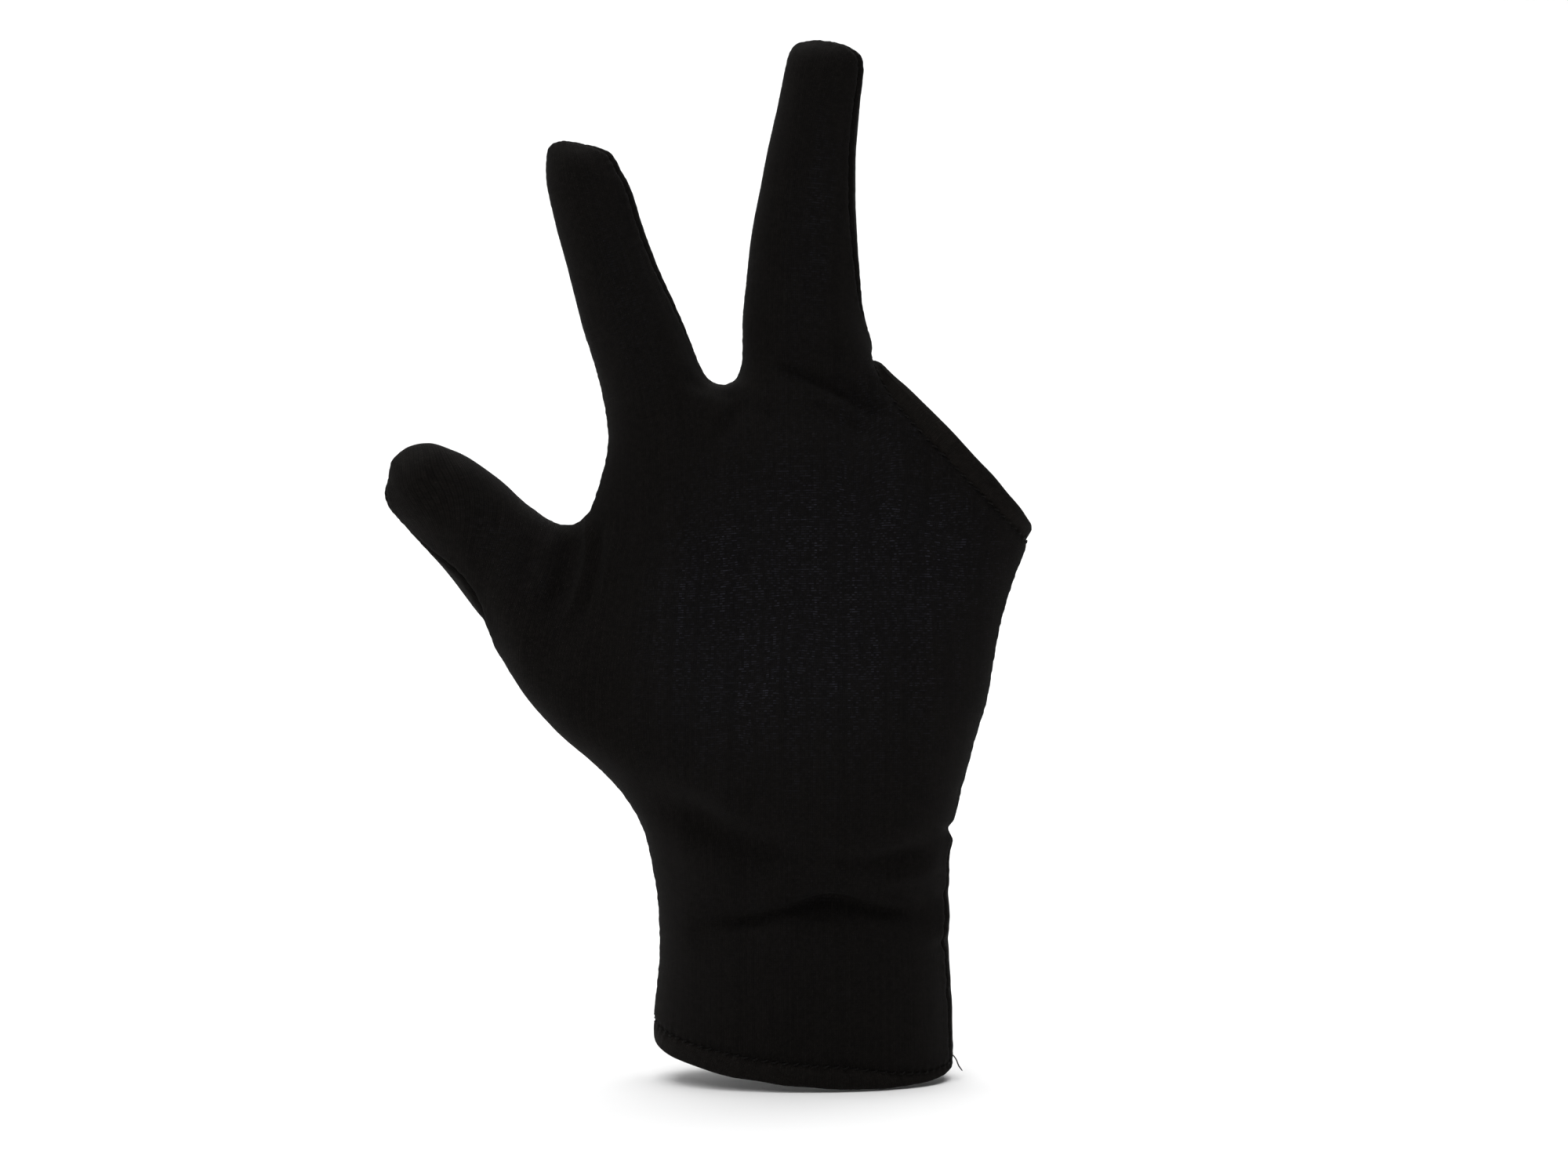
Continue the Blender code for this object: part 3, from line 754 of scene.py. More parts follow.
@dataclass(frozen=True)
class HemDrop:
    """Lowers the cuff's stitched joint, in mm, so that the hem is narrow on the little finger's side.

    drop is how far the joint lies lower everywhere, side_drop how much more at the side that begins
    at side_out and is side_over wide, band the hem's width and fade the cloth above that follows."""

    drop: float = 1.6
    side_drop: float = 2.6
    side_out: float = 6.0
    side_over: float = 24.0
    band: float = 6.2
    fade: float = 14.0

    def lower(self, mesh: bmesh.types.BMesh, joint: np.ndarray) -> None:
        """Lowers the mesh's vertices near the joint's places."""
        tree = place_tree(joint)
        for vert in mesh.verts:
            if vert.co.z > (self.fade + self.band) * MM:
                continue
            above = (vert.co.z - tree.find(vert.co)[0].z) / MM
            if above < 0:
                share = max(0.0, 1.0 + above / self.band)
            else:
                share = 1.0 - float(smooth_step(np.array(above / self.fade)))
            side = float(smooth_step(np.array((vert.co.x / MM - self.side_out) / self.side_over)))
            vert.co.z -= share * (self.drop + self.side_drop * side) * MM


HEM_DROP = HemDrop()
INDEX_TIP = TipSlope(-47.0, 182.0, 7.0, 0.2, -60.0, -30.0)
THUMB_TURN = ThumbTurn(Vector((-51.0, -1.0, 99.0)) * MM, Vector((-85.0, -5.0, 119.0)) * MM, 54.0, 0.6)


class Cloth:
    """The joined outer face of both panels, smooth and creased."""

    COARSE_LEVELS = 1
    FINE_LEVELS = 2
    UNEVEN_SCALE = 9 * MM
    UNEVEN_HEIGHT = 0.22 * MM
    JUNCTION_REACH = 6 * MM
    SEAM_GAP = 0.3 * MM
    LINE_REACH = 8 * MM

    def __init__(self, solids: Solids) -> None:
        """Joins, smooths and creases the panels' outer faces."""
        cage = made_mesh("cloth_cage", self._joined(solids))
        self.coarse = Smoother(self.COARSE_LEVELS).smooth(cage)
        self.fine = Smoother(self.FINE_LEVELS).smooth(self.coarse.copy())
        self.places = coordinates(self.fine)
        self.normals = normals_of(self.fine)
        self.seams, self.joints = self._lines()
        self._crease()
        log.info("cloth: %d faces, %d seams, %d joints", len(self.fine.polygons), len(self.seams),
                 len(self.joints))

    @staticmethod
    def _joined(solids: Solids) -> bmesh.types.BMesh:
        """Returns the two panels' outer faces as one mesh of quads with its knit map."""
        joined = bmesh.new()
        for index, part in enumerate(PANELS):
            first = len(joined.faces)
            joined.from_mesh(made_mesh("sheet", solids.sheet(part)))
            joined.faces.ensure_lookup_table()
            for face in joined.faces[first:]:
                face.material_index = index
        edge = [vert for vert in joined.verts if vert.is_boundary]
        bmesh.ops.remove_doubles(joined, verts=edge, dist=Cloth.SEAM_GAP)
        THUMB_TURN.turn(joined, BVHTree.FromBMesh(joined.copy()))
        INDEX_TIP.slope(joined)
        HEM_DROP.lower(joined, solids.cuff_joint)
        quads_from_triangles(joined)
        joined.normal_update()
        knit = KnitMap()
        for index in range(len(PANELS)):
            knit.lay(joined, [face for face in joined.faces if face.material_index == index])
        return joined

    def _lines(self) -> tuple[list[Line], list[Line]]:
        """Returns the seams between the panels and the joints to the hems."""
        owners: dict[tuple[int, int], list[int]] = {}
        for polygon in self.fine.polygons:
            for key in polygon.edge_keys:
                owners.setdefault(key, []).append(polygon.material_index)
        seams = [key for key, parts in owners.items() if len(set(parts)) == 2]
        joints = [key for key, parts in owners.items() if len(parts) == 1]
        return Line.walked(seams, self.places), Line.walked(joints, self.places)

    def stretch(self) -> np.ndarray:
        """Returns how far the knit is pulled open at each vertex, from 0 to 1."""
        return np.clip(sum(row.shares(self.places, self.normals) for row in STRETCHED_PLACES), 0, 1)

    def _crease(self) -> None:
        """Gives the surface its creases, seams, stitch grooves and unevenness."""
        side = np.sign(self.normals[:, 1])
        near_seam = Nearness.to_lines(self.places, self.seams, self.LINE_REACH)
        near_joint = Nearness.to_lines(self.places, self.joints, self.LINE_REACH)
        heights = sum(
            crease.heights(self.places, self.normals, near_seam.distance) for crease in CREASES
        )
        heights += softness(self.places, self.UNEVEN_SCALE, self.UNEVEN_HEIGHT, 3.1)
        clear = 0.35 + 0.65 * smooth_step(near_joint.distance / self.JUNCTION_REACH)
        heights += OUTLINE_SEAM.heights(near_seam, 0.0) * (side < 0) * clear
        heights += OUTLINE_SEAM.heights(near_seam, 1.9) * (side >= 0) * clear
        heights += STITCHED_HEM.heights(near_joint, 0.7)
        self.places += self.normals * heights[:, None]
        self.fine.vertices.foreach_set("co", self.places.ravel())
        self.fine.update()
        self.normals = normals_of(self.fine)
        for line in (*self.seams, *self.joints):
            line.places = self.places[line.vertices]


@dataclass(frozen=True)
class KnitFinish:
    """Colour and surface of one knitted or twisted yarn finish.

    base is the yarn's linear colour, painted_glint the colour of the highlights painted as glints on its
    filaments and open_tone that of knit that is pulled open. depth is the height of one stitch in
    metres, uneven the share by which stitches differ in tone."""

    name: str
    base: tuple[float, float, float]
    painted_glint: tuple[float, float, float]
    depth: float
    uneven: float
    roughness: float
    sheen: float
    glint_share: float
    open_tone: tuple[float, float, float] = (0.0046, 0.0046, 0.0058)


PALM_KNIT = KnitFinish(
    "palm_knit", (0.0058, 0.0050, 0.0045), (0.030, 0.030, 0.040), 0.09 * MM, 0.30, 0.88, 0.008, 1.0
)
BACK_KNIT = KnitFinish(
    "back_knit", (0.0058, 0.0050, 0.0045), (0.030, 0.030, 0.040), 0.09 * MM, 0.30, 0.88, 0.008, 0.8
)
# Same black yarn as the panels, given a lighter base colour: painted light that brightens the hem bands.
PAINTED_LIT_HEM_KNIT = KnitFinish(
    "painted_lit_hem_knit", (0.0082, 0.0071, 0.0063), (0.030, 0.030, 0.040), 0.10 * MM, 0.30, 0.88, 0.008, 0.0
)
SEWING_THREAD = KnitFinish(
    "sewing_thread", (0.0085, 0.0078, 0.0074), (0.03, 0.03, 0.035), 0.05 * MM, 0.2, 0.6, 0.01, 0.0
)


class Tree:
    """A shader node tree that is filled row by row."""

    def __init__(self, tree: bpy.types.NodeTree) -> None:
        """Wraps the tree."""
        self.tree = tree

    def node(self, kind: str, inputs: dict | None = None, **settings: object) -> bpy.types.Node:
        """Adds a node.

        Args:
            kind: The node's type, without the ShaderNode it begins with.
            inputs: Values or sockets for its inputs, by name or number.
            settings: Its own settings.

        Returns:
            The node.
        """
        node = self.tree.nodes.new(f"ShaderNode{kind}")
        for name, value in settings.items():
            setattr(node, name, value)
        for name, value in (inputs or {}).items():
            if isinstance(value, bpy.types.NodeSocket):
                self.tree.links.new(value, node.inputs[name])
            else:
                node.inputs[name].default_value = value
        return node

    def math(self, operation: str, *values: object) -> bpy.types.NodeSocket:
        """Adds a Math node and returns its result."""
        return self.node("Math", dict(enumerate(values)), operation=operation).outputs[0]

    def mix(self, share: object, first: object, second: object) -> bpy.types.NodeSocket:
        """Adds a colour mix and returns its result."""
        colours = [(*c, 1.0) if isinstance(c, tuple) and len(c) == 3 else c for c in (first, second)]
        node = self.node("Mix", {0: share, 6: colours[0], 7: colours[1]}, data_type="RGBA")
        return node.outputs[2]


def new_group(name: str, inputs: dict[str, float], outputs: tuple[str, ...]) -> bpy.types.NodeTree:
    """Makes an empty shader node group.

    Args:
        name: The group's name.
        inputs: Its number inputs and their usual values; Map is a vector input.
        outputs: Its number outputs.

    Returns:
        The group's tree.
    """
    group = bpy.data.node_groups.new(name, "ShaderNodeTree")
    for label, value in inputs.items():
        kind = "NodeSocketVector" if label == "Map" else "NodeSocketFloat"
        socket = group.interface.new_socket(name=label, in_out="INPUT", socket_type=kind)
        if label != "Map":
            socket.default_value = value
    for label in outputs:
        group.interface.new_socket(name=label, in_out="OUTPUT", socket_type="NodeSocketFloat")
    return group


def knit_group() -> bpy.types.NodeTree:
    """Builds the plain knit: rows of small V stitches counted by the knit map."""
    group = new_group("plain_knit", {"Map": 0.0, "Waver": 0.05}, ("Height", "Tone"))
    tree = Tree(group)
    given = group.nodes.new("NodeGroupInput")
    waver = tree.node("TexNoise", {"Vector": given.outputs["Map"], "Scale": 0.21, "Detail": 3.0})
    moved = tree.math("MULTIPLY", tree.math("SUBTRACT", waver.outputs["Fac"], 0.5), 6.0)
    moved = tree.math("MULTIPLY", moved, given.outputs["Waver"])
    parts = tree.node("SeparateXYZ", {0: given.outputs["Map"]}).outputs
    wale = tree.math("ADD", parts["X"], moved)
    course = tree.math("ADD", parts["Y"], moved)
    from_middle = tree.math("ABSOLUTE", tree.math("SUBTRACT", tree.math("FRACT", wale), 0.5))
    from_middle = tree.math("MULTIPLY", from_middle, 2.0)
    slanted = tree.math("SUBTRACT", course, tree.math("MULTIPLY", from_middle, 0.7))
    along = tree.math("ABSOLUTE", tree.math("SUBTRACT", tree.math("FRACT", slanted), 0.5))
    rung = tree.math("SUBTRACT", 1.0, tree.math("POWER", tree.math("MULTIPLY", along, 2.0), 2.5))
    across = tree.math("SUBTRACT", tree.math("MULTIPLY", from_middle, 2.0), 0.9)
    leg = tree.math("SUBTRACT", 1.0, tree.math("POWER", tree.math("ABSOLUTE", across), 2.0))
    leg = tree.math("MAXIMUM", leg, 0.0)
    height = tree.math("MULTIPLY", leg, tree.math("MULTIPLY_ADD", rung, 0.55, 0.45))
    cell = tree.node(
        "CombineXYZ", {0: tree.math("FLOOR", wale), 1: tree.math("FLOOR", slanted), 2: 0.5}
    ).outputs[0]
    tone = tree.node("TexWhiteNoise", {"Vector": cell}, noise_dimensions="3D").outputs["Value"]
    strand = tree.node("TexWhiteNoise", {"W": tree.math("FLOOR", wale)}, noise_dimensions="1D")
    tone = tree.math("MULTIPLY_ADD", strand.outputs["Value"], 0.3, tree.math("MULTIPLY", tone, 0.7))
    given_out = group.nodes.new("NodeGroupOutput")
    group.links.new(height, given_out.inputs["Height"])
    group.links.new(tone, given_out.inputs["Tone"])
    return group


def fuzz_group() -> bpy.types.NodeTree:
    """Builds the fine fibres that stand off the yarn, and the cloth's slow change of tone."""
    group = new_group("fibre_fuzz", {"Map": 0.0, "Fineness": 9000.0}, ("Height", "Tone"))
    tree = Tree(group)
    given = group.nodes.new("NodeGroupInput")
    fibre = tree.node(
        "TexNoise",
        {"Vector": given.outputs["Map"], "Scale": given.outputs["Fineness"], "Detail": 2.0},
    )
    cloud = tree.node("TexNoise", {"Vector": given.outputs["Map"], "Scale": 70.0, "Detail": 4.0})
    given_out = group.nodes.new("NodeGroupOutput")
    group.links.new(fibre.outputs["Fac"], given_out.inputs["Height"])
    group.links.new(cloud.outputs["Fac"], given_out.inputs["Tone"])
    return group


def painted_glint_group() -> bpy.types.NodeTree:
    """Builds the mask of painted glints: highlights painted on the filaments as short level dashes stacked
    in narrow columns.
    """
    group = new_group("painted_ladder_glint", {"Map": 0.0, "Stretch": 1.0}, ("Mask",))
    tree = Tree(group)
    given = group.nodes.new("NodeGroupInput")
    parts = tree.node("SeparateXYZ", {0: given.outputs["Map"]}).outputs
    column = tree.math("FLOOR", tree.math("DIVIDE", parts["X"], 2.0))
    row = tree.math("FLOOR", parts["Y"])
    lane = tree.node(
        "CombineXYZ", {0: tree.math("MULTIPLY", column, 0.61), 1: tree.math("MULTIPLY", row, 0.009)}
    ).outputs[0]
    run = tree.node("TexNoise", {"Vector": lane, "Scale": 1.0, "Detail": 2.0}).outputs["Fac"]
    run = tree.math("MULTIPLY", tree.math("SUBTRACT", run, 0.30), 2.6)
    run = tree.node("Clamp", {0: run}).outputs[0]
    cell = tree.node("CombineXYZ", {0: tree.math("FLOOR", parts["X"]), 1: row, 2: 3.5}).outputs[0]
    spark = tree.node("TexWhiteNoise", {"Vector": cell}, noise_dimensions="3D").outputs["Value"]
    spark = tree.math("POWER", spark, 3.0)
    dash = tree.math("ABSOLUTE", tree.math("SUBTRACT", tree.math("FRACT", parts["Y"]), 0.5))
    dash = tree.math("LESS_THAN", dash, 0.2)
    mask = tree.math("MULTIPLY", tree.math("MULTIPLY", run, spark), dash)
    given_out = group.nodes.new("NodeGroupOutput")
    group.links.new(tree.math("MULTIPLY", mask, given.outputs["Stretch"]), given_out.inputs["Mask"])
    return group


class Wardrobe:
    """The materials of the glove, each made once."""

    def __init__(self) -> None:
        """Builds the shared node groups."""
        self.knit = knit_group()
        self.fuzz = fuzz_group()
        self.painted_glint_ladder = painted_glint_group()
        self.made: dict[str, bpy.types.Material] = {}

    def material(self, finish: KnitFinish) -> bpy.types.Material:
        """Returns the finish's material."""
        if finish.name not in self.made:
            self.made[finish.name] = self._build(finish)
        return self.made[finish.name]

    def _build(self, finish: KnitFinish) -> bpy.types.Material:
        """Builds the material of a finish."""
        material = bpy.data.materials.new(finish.name)
        material.use_nodes = True
        material.node_tree.nodes.clear()
        tree = Tree(material.node_tree)
        stitches_map = tree.node("UVMap", uv_map=KNIT_MAP).outputs[0]
        place = tree.node("TexCoord").outputs["Object"]
        knit = self._group(tree, self.knit, stitches_map)
        fuzz = self._group(tree, self.fuzz, place)
        painted_glint_ladder = self._group(tree, self.painted_glint_ladder, stitches_map)
        low = tuple(value * (1 - finish.uneven) for value in finish.base)
        high = tuple(value * (1 + finish.uneven) for value in finish.base)
        colour = tree.mix(knit.outputs["Tone"], low, high)
        cloud = tree.math("MULTIPLY_ADD", fuzz.outputs["Tone"], 0.5, 0.75)
        # Painted shade: the colour is darkened in the grooves between the stitches by the knit's height,
        # times the cloth's slow random change of tone.
        shade = tree.math("MULTIPLY_ADD", knit.outputs["Height"], 0.75, 0.5)
        shade = tree.math("MULTIPLY", shade, cloud)
        colour_with_painted_light = tree.mix(shade, (0.0, 0.0, 0.0), colour)
        # How open the knit is sets where the open tone and the painted glints show.
        open_and_painted_glint_share = tree.node("Attribute", attribute_name=STRETCH).outputs["Fac"]
        open_and_painted_glint_share = tree.math("MULTIPLY", open_and_painted_glint_share, finish.glint_share)
        tree.tree.links.new(open_and_painted_glint_share, painted_glint_ladder.inputs["Stretch"])
        colour_with_painted_light = tree.mix(tree.math("MULTIPLY", open_and_painted_glint_share, 0.35), colour_with_painted_light, finish.open_tone)
        # Painted glints: dashes of painted highlight mixed into the colour, which are also made less rough.
        share = painted_glint_ladder.outputs["Mask"]
        colour_with_painted_light = tree.mix(share, colour_with_painted_light, finish.painted_glint)
        rough = tree.math("MULTIPLY_ADD", share, -0.4, finish.roughness)
        height = tree.math("MULTIPLY_ADD", fuzz.outputs["Height"], 0.35, knit.outputs["Height"])
        bump = tree.node("Bump", {"Height": height, "Distance": finish.depth, "Strength": 1.0})
        surface = tree.node(
            "BsdfPrincipled",
            {
                "Base Color": colour_with_painted_light,
                "Roughness": rough,
                "Specular IOR Level": 0.045,
                "Sheen Weight": finish.sheen,
                "Sheen Roughness": 0.45,
                "Normal": bump.outputs[0],
            },
        )
        tree.node("OutputMaterial", {"Surface": surface.outputs[0]})
        return material

    @staticmethod
    def _group(tree: Tree, group: bpy.types.NodeTree, place: bpy.types.NodeSocket) -> bpy.types.Node:
        """Places a shared group in a material and gives it its coordinates."""
        node = tree.tree.nodes.new("ShaderNodeGroup")
        node.node_tree = group
        tree.tree.links.new(place, node.inputs["Map"])
        return node


FINISHES = {
    Part.PALM: PALM_KNIT,
    Part.BACK: BACK_KNIT,
    Part.CUFF_HEM: PAINTED_LIT_HEM_KNIT,
    Part.OPENING_HEM: PAINTED_LIT_HEM_KNIT,
}


def write_stretch(mesh: bpy.types.Mesh, shares: np.ndarray) -> None:
    """Keeps with a mesh how far its knit is pulled open at each vertex."""
    layer = mesh.attributes.new(STRETCH, "FLOAT", "POINT")
    layer.data.foreach_set("value", shares.astype(np.float32))


def place_object(
    name: str, mesh: bpy.types.Mesh, material: bpy.types.Material
) -> bpy.types.Object:
    """Puts a piece into the scene.

    Args:
        name: The piece's name.
        mesh: Its mesh.
        material: Its material.

    Returns:
        The new object, shaded smooth and riding on the glove's body.
    """
    thing = bpy.data.objects.new(name, mesh)
    bpy.context.scene.collection.objects.link(thing)
    mesh.materials.clear()
    mesh.materials.append(material)
    mesh.polygons.foreach_set("use_smooth", [True] * len(mesh.polygons))
    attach(thing, BODY)
    log.info("%s: %d faces", name, len(mesh.polygons))
    return thing


class Panel:
    """One panel of the glove: knit with an outer face, an inner face and an edge at the seam."""

    def __init__(self, part: Part, cloth: Cloth, wardrobe: Wardrobe) -> None:
        """Builds the panel from the cloth's faces of its side."""
        self.part = part
        self.cloth = cloth
        self.index = list(PANELS).index(part)
        material = wardrobe.material(FINISHES[part])
        self.thing = place_object(f"{part.value}_knit", self._mesh(), material)
        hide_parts(part.value)

    def _faces_of(self, mesh: bpy.types.Mesh) -> list[tuple[list[int], list[tuple[float, float]]]]:
        """Returns the panel's faces of a mesh as vertex numbers and knit map places."""
        layer = mesh.uv_layers[KNIT_MAP].uv
        return [
            (list(p.vertices), [tuple(layer[k].vector) for k in p.loop_indices])
            for p in mesh.polygons
            if p.material_index == self.index
        ]

    @staticmethod
    def _rim(faces: list[tuple[list[int], list]]) -> dict[int, list[int]]:
        """Returns each rim vertex's next ones, with the piece on the left seen from outside."""
        ways = {(a, b) for verts, _ in faces for a, b in zip(verts, [*verts[1:], verts[0]])}
        following: dict[int, list[int]] = {}
        for a, b in sorted(ways):
            if (b, a) not in ways:
                following.setdefault(a, []).append(b)
        return following

    @staticmethod
    def _chain(following: dict[int, list[int]], start: int, end: int) -> list[int]:
        """Returns the fine rim vertices from one coarse rim vertex to the next."""
        runs = [[start]]
        for _ in range(2**Cloth.FINE_LEVELS):
            runs = [[*run, step] for run in runs for step in following.get(run[-1], [])]
        return next((run for run in runs if run[-1] == end), [start, end])

    def _mesh(self) -> bpy.types.Mesh:
        """Returns the closed mesh: fine outside, coarser inside, and a rim that joins them."""
        cloth = self.cloth
        outer = self._faces_of(cloth.fine)
        inner = self._faces_of(cloth.coarse)
        solid = bmesh.new()
        layer = solid.loops.layers.uv.new(KNIT_MAP)
        outside = {n: solid.verts.new(cloth.places[n]) for n in {n for vs, _ in outer for n in vs}}
        inside = {
            n: solid.verts.new(cloth.places[n] - cloth.normals[n] * WALL)
            for n in {n for vs, _ in inner for n in vs}
        }
        for verts, spots in outer:
            face = solid.faces.new([outside[n] for n in verts])
            for loop, spot in zip(face.loops, spots):
                loop[layer].uv = spot
        for verts, spots in inner:
            face = solid.faces.new([inside[n] for n in reversed(verts)])
            for loop, spot in zip(face.loops, reversed(spots)):
                loop[layer].uv = spot
        fine_steps = self._rim(outer)
        for start, ends in self._rim(inner).items():
            for end in ends:
                chain = self._chain(fine_steps, start, end)
                if len(chain) == 2:
                    log.warning("%s: no fine rim from %d to %d", self.part.value, start, end)
                    continue
                solid.faces.new([*[outside[n] for n in reversed(chain)], inside[start], inside[end]])
        mesh = made_mesh(self.part.value, solid)
        write_stretch(mesh, cloth.stretch()[[*outside, *inside]])
        return mesh


class Hem:
    """A turned and stitched edge: doubled knit round an opening."""

    LEVELS = 2
    UNEVEN_SCALE = 8 * MM
    UNEVEN_HEIGHT = 0.30 * MM

    def __init__(self, part: Part, solids: Solids, cloth: Cloth, wardrobe: Wardrobe) -> None:
        """Builds the hem from its solid and fits its edge to the cloth's."""
        self.part = part
        self.cloth = cloth
        self.joint_tree = place_tree(np.concatenate([line.places for line in cloth.joints]))
        material = wardrobe.material(FINISHES[part])
        self.thing = place_object(f"{part.value}_knit", self._mesh(solids), material)
        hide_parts(part.value)

    def _lay_map(self, sheet: bmesh.types.BMesh) -> None:
        """Lays the knit map round the ring: wales counted round it and courses across its band."""
        layer = sheet.loops.layers.uv.new(KNIT_MAP)
        rim = np.array([v.co for v in sheet.verts if v.is_boundary])
        middle = rim.mean(0)
        first, second, axis = np.linalg.svd(rim - middle)[2]
        edges = [(e.verts[0].index, e.verts[1].index) for e in sheet.edges if e.is_boundary]
        places = np.array([v.co for v in sheet.verts])
        loop = Line.walked(edges, places)[0]
        angles = np.arctan2((loop.rest - middle) @ second, (loop.rest - middle) @ first)
        order = np.argsort(angles)
        ring = loop.rest[order]
        steps = np.linalg.norm(np.diff(ring, axis=0, append=ring[:1]), axis=1)
        gone = np.concatenate([[0.0], np.cumsum(steps)])
        marks = np.concatenate([angles[order], [angles[order][0] + 2 * np.pi]])
        for face in sheet.faces:
            outside = float(np.array(face.normal) @ (np.array(face.calc_center_median()) - middle)) > 0
            counts = []
            for corner in face.loops:
                way = np.array(corner.vert.co) - middle
                angle = np.arctan2(way @ second, way @ first)
                round_it = np.interp((angle - marks[0]) % (2 * np.pi) + marks[0], marks, gone)
                counts.append([round_it, float(way @ axis) * (1 if outside else -1)])
            counts = np.array(counts)
            if np.ptp(counts[:, 0]) > gone[-1] / 2:
                counts[counts[:, 0] < gone[-1] / 2, 0] += gone[-1]
            for corner, count in zip(face.loops, counts):
                corner[layer].uv = (count[0] / WALE_PITCH, count[1] / COURSE_PITCH)

    def _mesh(self, solids: Solids) -> bpy.types.Mesh:
        """Returns the closed mesh of the hem."""
        sheet = solids.sheet(self.part)
        quads_from_triangles(sheet)
        sheet.normal_update()
        sheet.verts.index_update()
        self._lay_map(sheet)
        if self.part is Part.CUFF_HEM:
            HEM_DROP.lower(sheet, solids.cuff_joint)
        fine = Smoother(1).smooth(made_mesh("hem_cage", sheet))
        fine = Smoother(self.LEVELS).smooth(fine)
        places, normals = coordinates(fine), normals_of(fine)
        edge_uses: dict[tuple[int, int], int] = {}
        for polygon in fine.polygons:
            for key in polygon.edge_keys:
                edge_uses[key] = edge_uses.get(key, 0) + 1
        rims = Line.walked([key for key, uses in edge_uses.items() if uses == 1], places)
        rim = min(rims, key=lambda line: np.mean([self.joint_tree.find(p)[2] for p in line.places[::8]]))
        near = Nearness.to_lines(places, self.cloth.joints, Cloth.LINE_REACH)
        heights = STITCHED_HEM.heights(near, 2.1)
        heights += softness(places, self.UNEVEN_SCALE, self.UNEVEN_HEIGHT, 7.7)
        places += normals * heights[:, None]
        for number in rim.vertices:
            places[number] = self.joint_tree.find(places[number])[0]
        fine.vertices.foreach_set("co", places.ravel())
        fine.update()
        solid = bmesh.new()
        solid.from_mesh(fine)
        bmesh.ops.bridge_loops(solid, edges=[edge for edge in solid.edges if edge.is_boundary])
        bmesh.ops.recalc_face_normals(solid, faces=solid.faces)
        solid.to_mesh(fine)
        solid.free()
        write_stretch(fine, np.zeros(len(fine.vertices)))
        return fine


@dataclass(frozen=True)
class Thread:
    """Sewing thread: its half thickness and the number of sides that its tube is built with."""

    radius: float = 0.17 * MM
    sides: int = 8

    def tube(self, mesh: bmesh.types.BMesh, points: np.ndarray, ends: float = 0.35) -> None:
        """Adds a closed tube to a mesh.

        Args:
            mesh: The mesh to add to.
            points: The tube's middle line.
            ends: The share of the full thickness at its two ends.
        """
        layer = mesh.loops.layers.uv.get(KNIT_MAP) or mesh.loops.layers.uv.new(KNIT_MAP)
        ways = np.gradient(points, axis=0)
        gone = np.concatenate([[0.0], np.cumsum(np.linalg.norm(np.diff(points, axis=0), axis=1))])
        rings = []
        for number, (point, way) in enumerate(zip(points, ways)):
            turn = Vector(way).to_track_quat("Z", "Y")
            edge = min(number, len(points) - 1 - number)
            radius = self.radius * (ends if edge == 0 else 0.85 if edge == 1 else 1.0)
            ring = []
            for side in range(self.sides):
                angle = 2 * np.pi * side / self.sides
                offset = turn @ Vector((radius * np.cos(angle), radius * np.sin(angle), 0.0))
                ring.append(mesh.verts.new(Vector(point) + offset))
            rings.append(ring)
        for number, (low, high) in enumerate(zip(rings[:-1], rings[1:])):
            for side in range(self.sides):
                after = (side + 1) % self.sides
                face = mesh.faces.new((low[side], low[after], high[after], high[side]))
                corners = ((side, number), (side + 1, number), (side + 1, number + 1), (side, number + 1))
                for loop, (around, up) in zip(face.loops, corners):
                    twist = gone[up] / (4 * self.radius) + around / self.sides
                    loop[layer].uv = (twist, gone[up] / COURSE_PITCH)
        mesh.faces.new(list(reversed(rings[0])))
        mesh.faces.new(rings[-1])


@dataclass(frozen=True)
class StitchRow:
    """A row of slanting stitches along a joint line.

    offset is how far the row lies beside the line, slant its stitches' turn in degrees, and first
    and last the shares of the line between which it runs."""

    offset: float = 0.0
    length: float = 1.55 * MM
    slant: float = 24.0
    rise: float = 0.16 * MM
    dip: float = 0.42 * MM
    first: float = 0.0
    last: float = 1.0


HEM_ROW = StitchRow()
SECOND_ROW = StitchRow(offset=1.5 * MM, first=0.36, last=0.45)


class Stitches:
    """The sewing thread that holds a turned hem."""

    SECTIONS = 7

    def __init__(self, name: str, part: Part, line: Line, cloth: Cloth, rows: tuple[StitchRow, ...],
                 wardrobe: Wardrobe) -> None:
        """Sews the rows along a joint line of the cloth."""
        self.line = line
        self.normals = cloth.normals[line.vertices]
        mesh = bmesh.new()
        for row in rows:
            self._sew(mesh, row)
        place_object(name, made_mesh(name, mesh), wardrobe.material(SEWING_THREAD))

    def _sew(self, mesh: bmesh.types.BMesh, row: StitchRow) -> None:
        """Adds one row of stitches."""
        lengths, places = self.line.lengths, self.line.places
        count = int(self.line.length * (row.last - row.first) / STITCH_PITCH)
        shares = np.linspace(-1.0, 1.0, self.SECTIONS)
        for number in range(count):
            middle = self.line.length * row.first + number * STITCH_PITCH
            index = int(np.clip(np.searchsorted(lengths, middle), 1, len(lengths) - 1))
            share = (middle - lengths[index - 1]) / (lengths[index] - lengths[index - 1])
            place = places[index - 1] + (places[index] - places[index - 1]) * min(share, 1.0)
            outward = self.normals[index] / np.linalg.norm(self.normals[index])
            way = places[index] - places[index - 1]
            way = way / np.linalg.norm(way)
            beside = np.cross(outward, way)
            slant = radians(row.slant + 6.0 * np.sin(number * 2.3))
            along = way * np.cos(slant) + beside * np.sin(slant)
            lift = row.rise - row.dip * shares**2
            half = row.length / 2 * (1.0 + 0.08 * np.sin(number * 1.7))
            points = place + beside * row.offset + along * (shares * half)[:, None]
            Thread().tube(mesh, points + outward * lift[:, None])


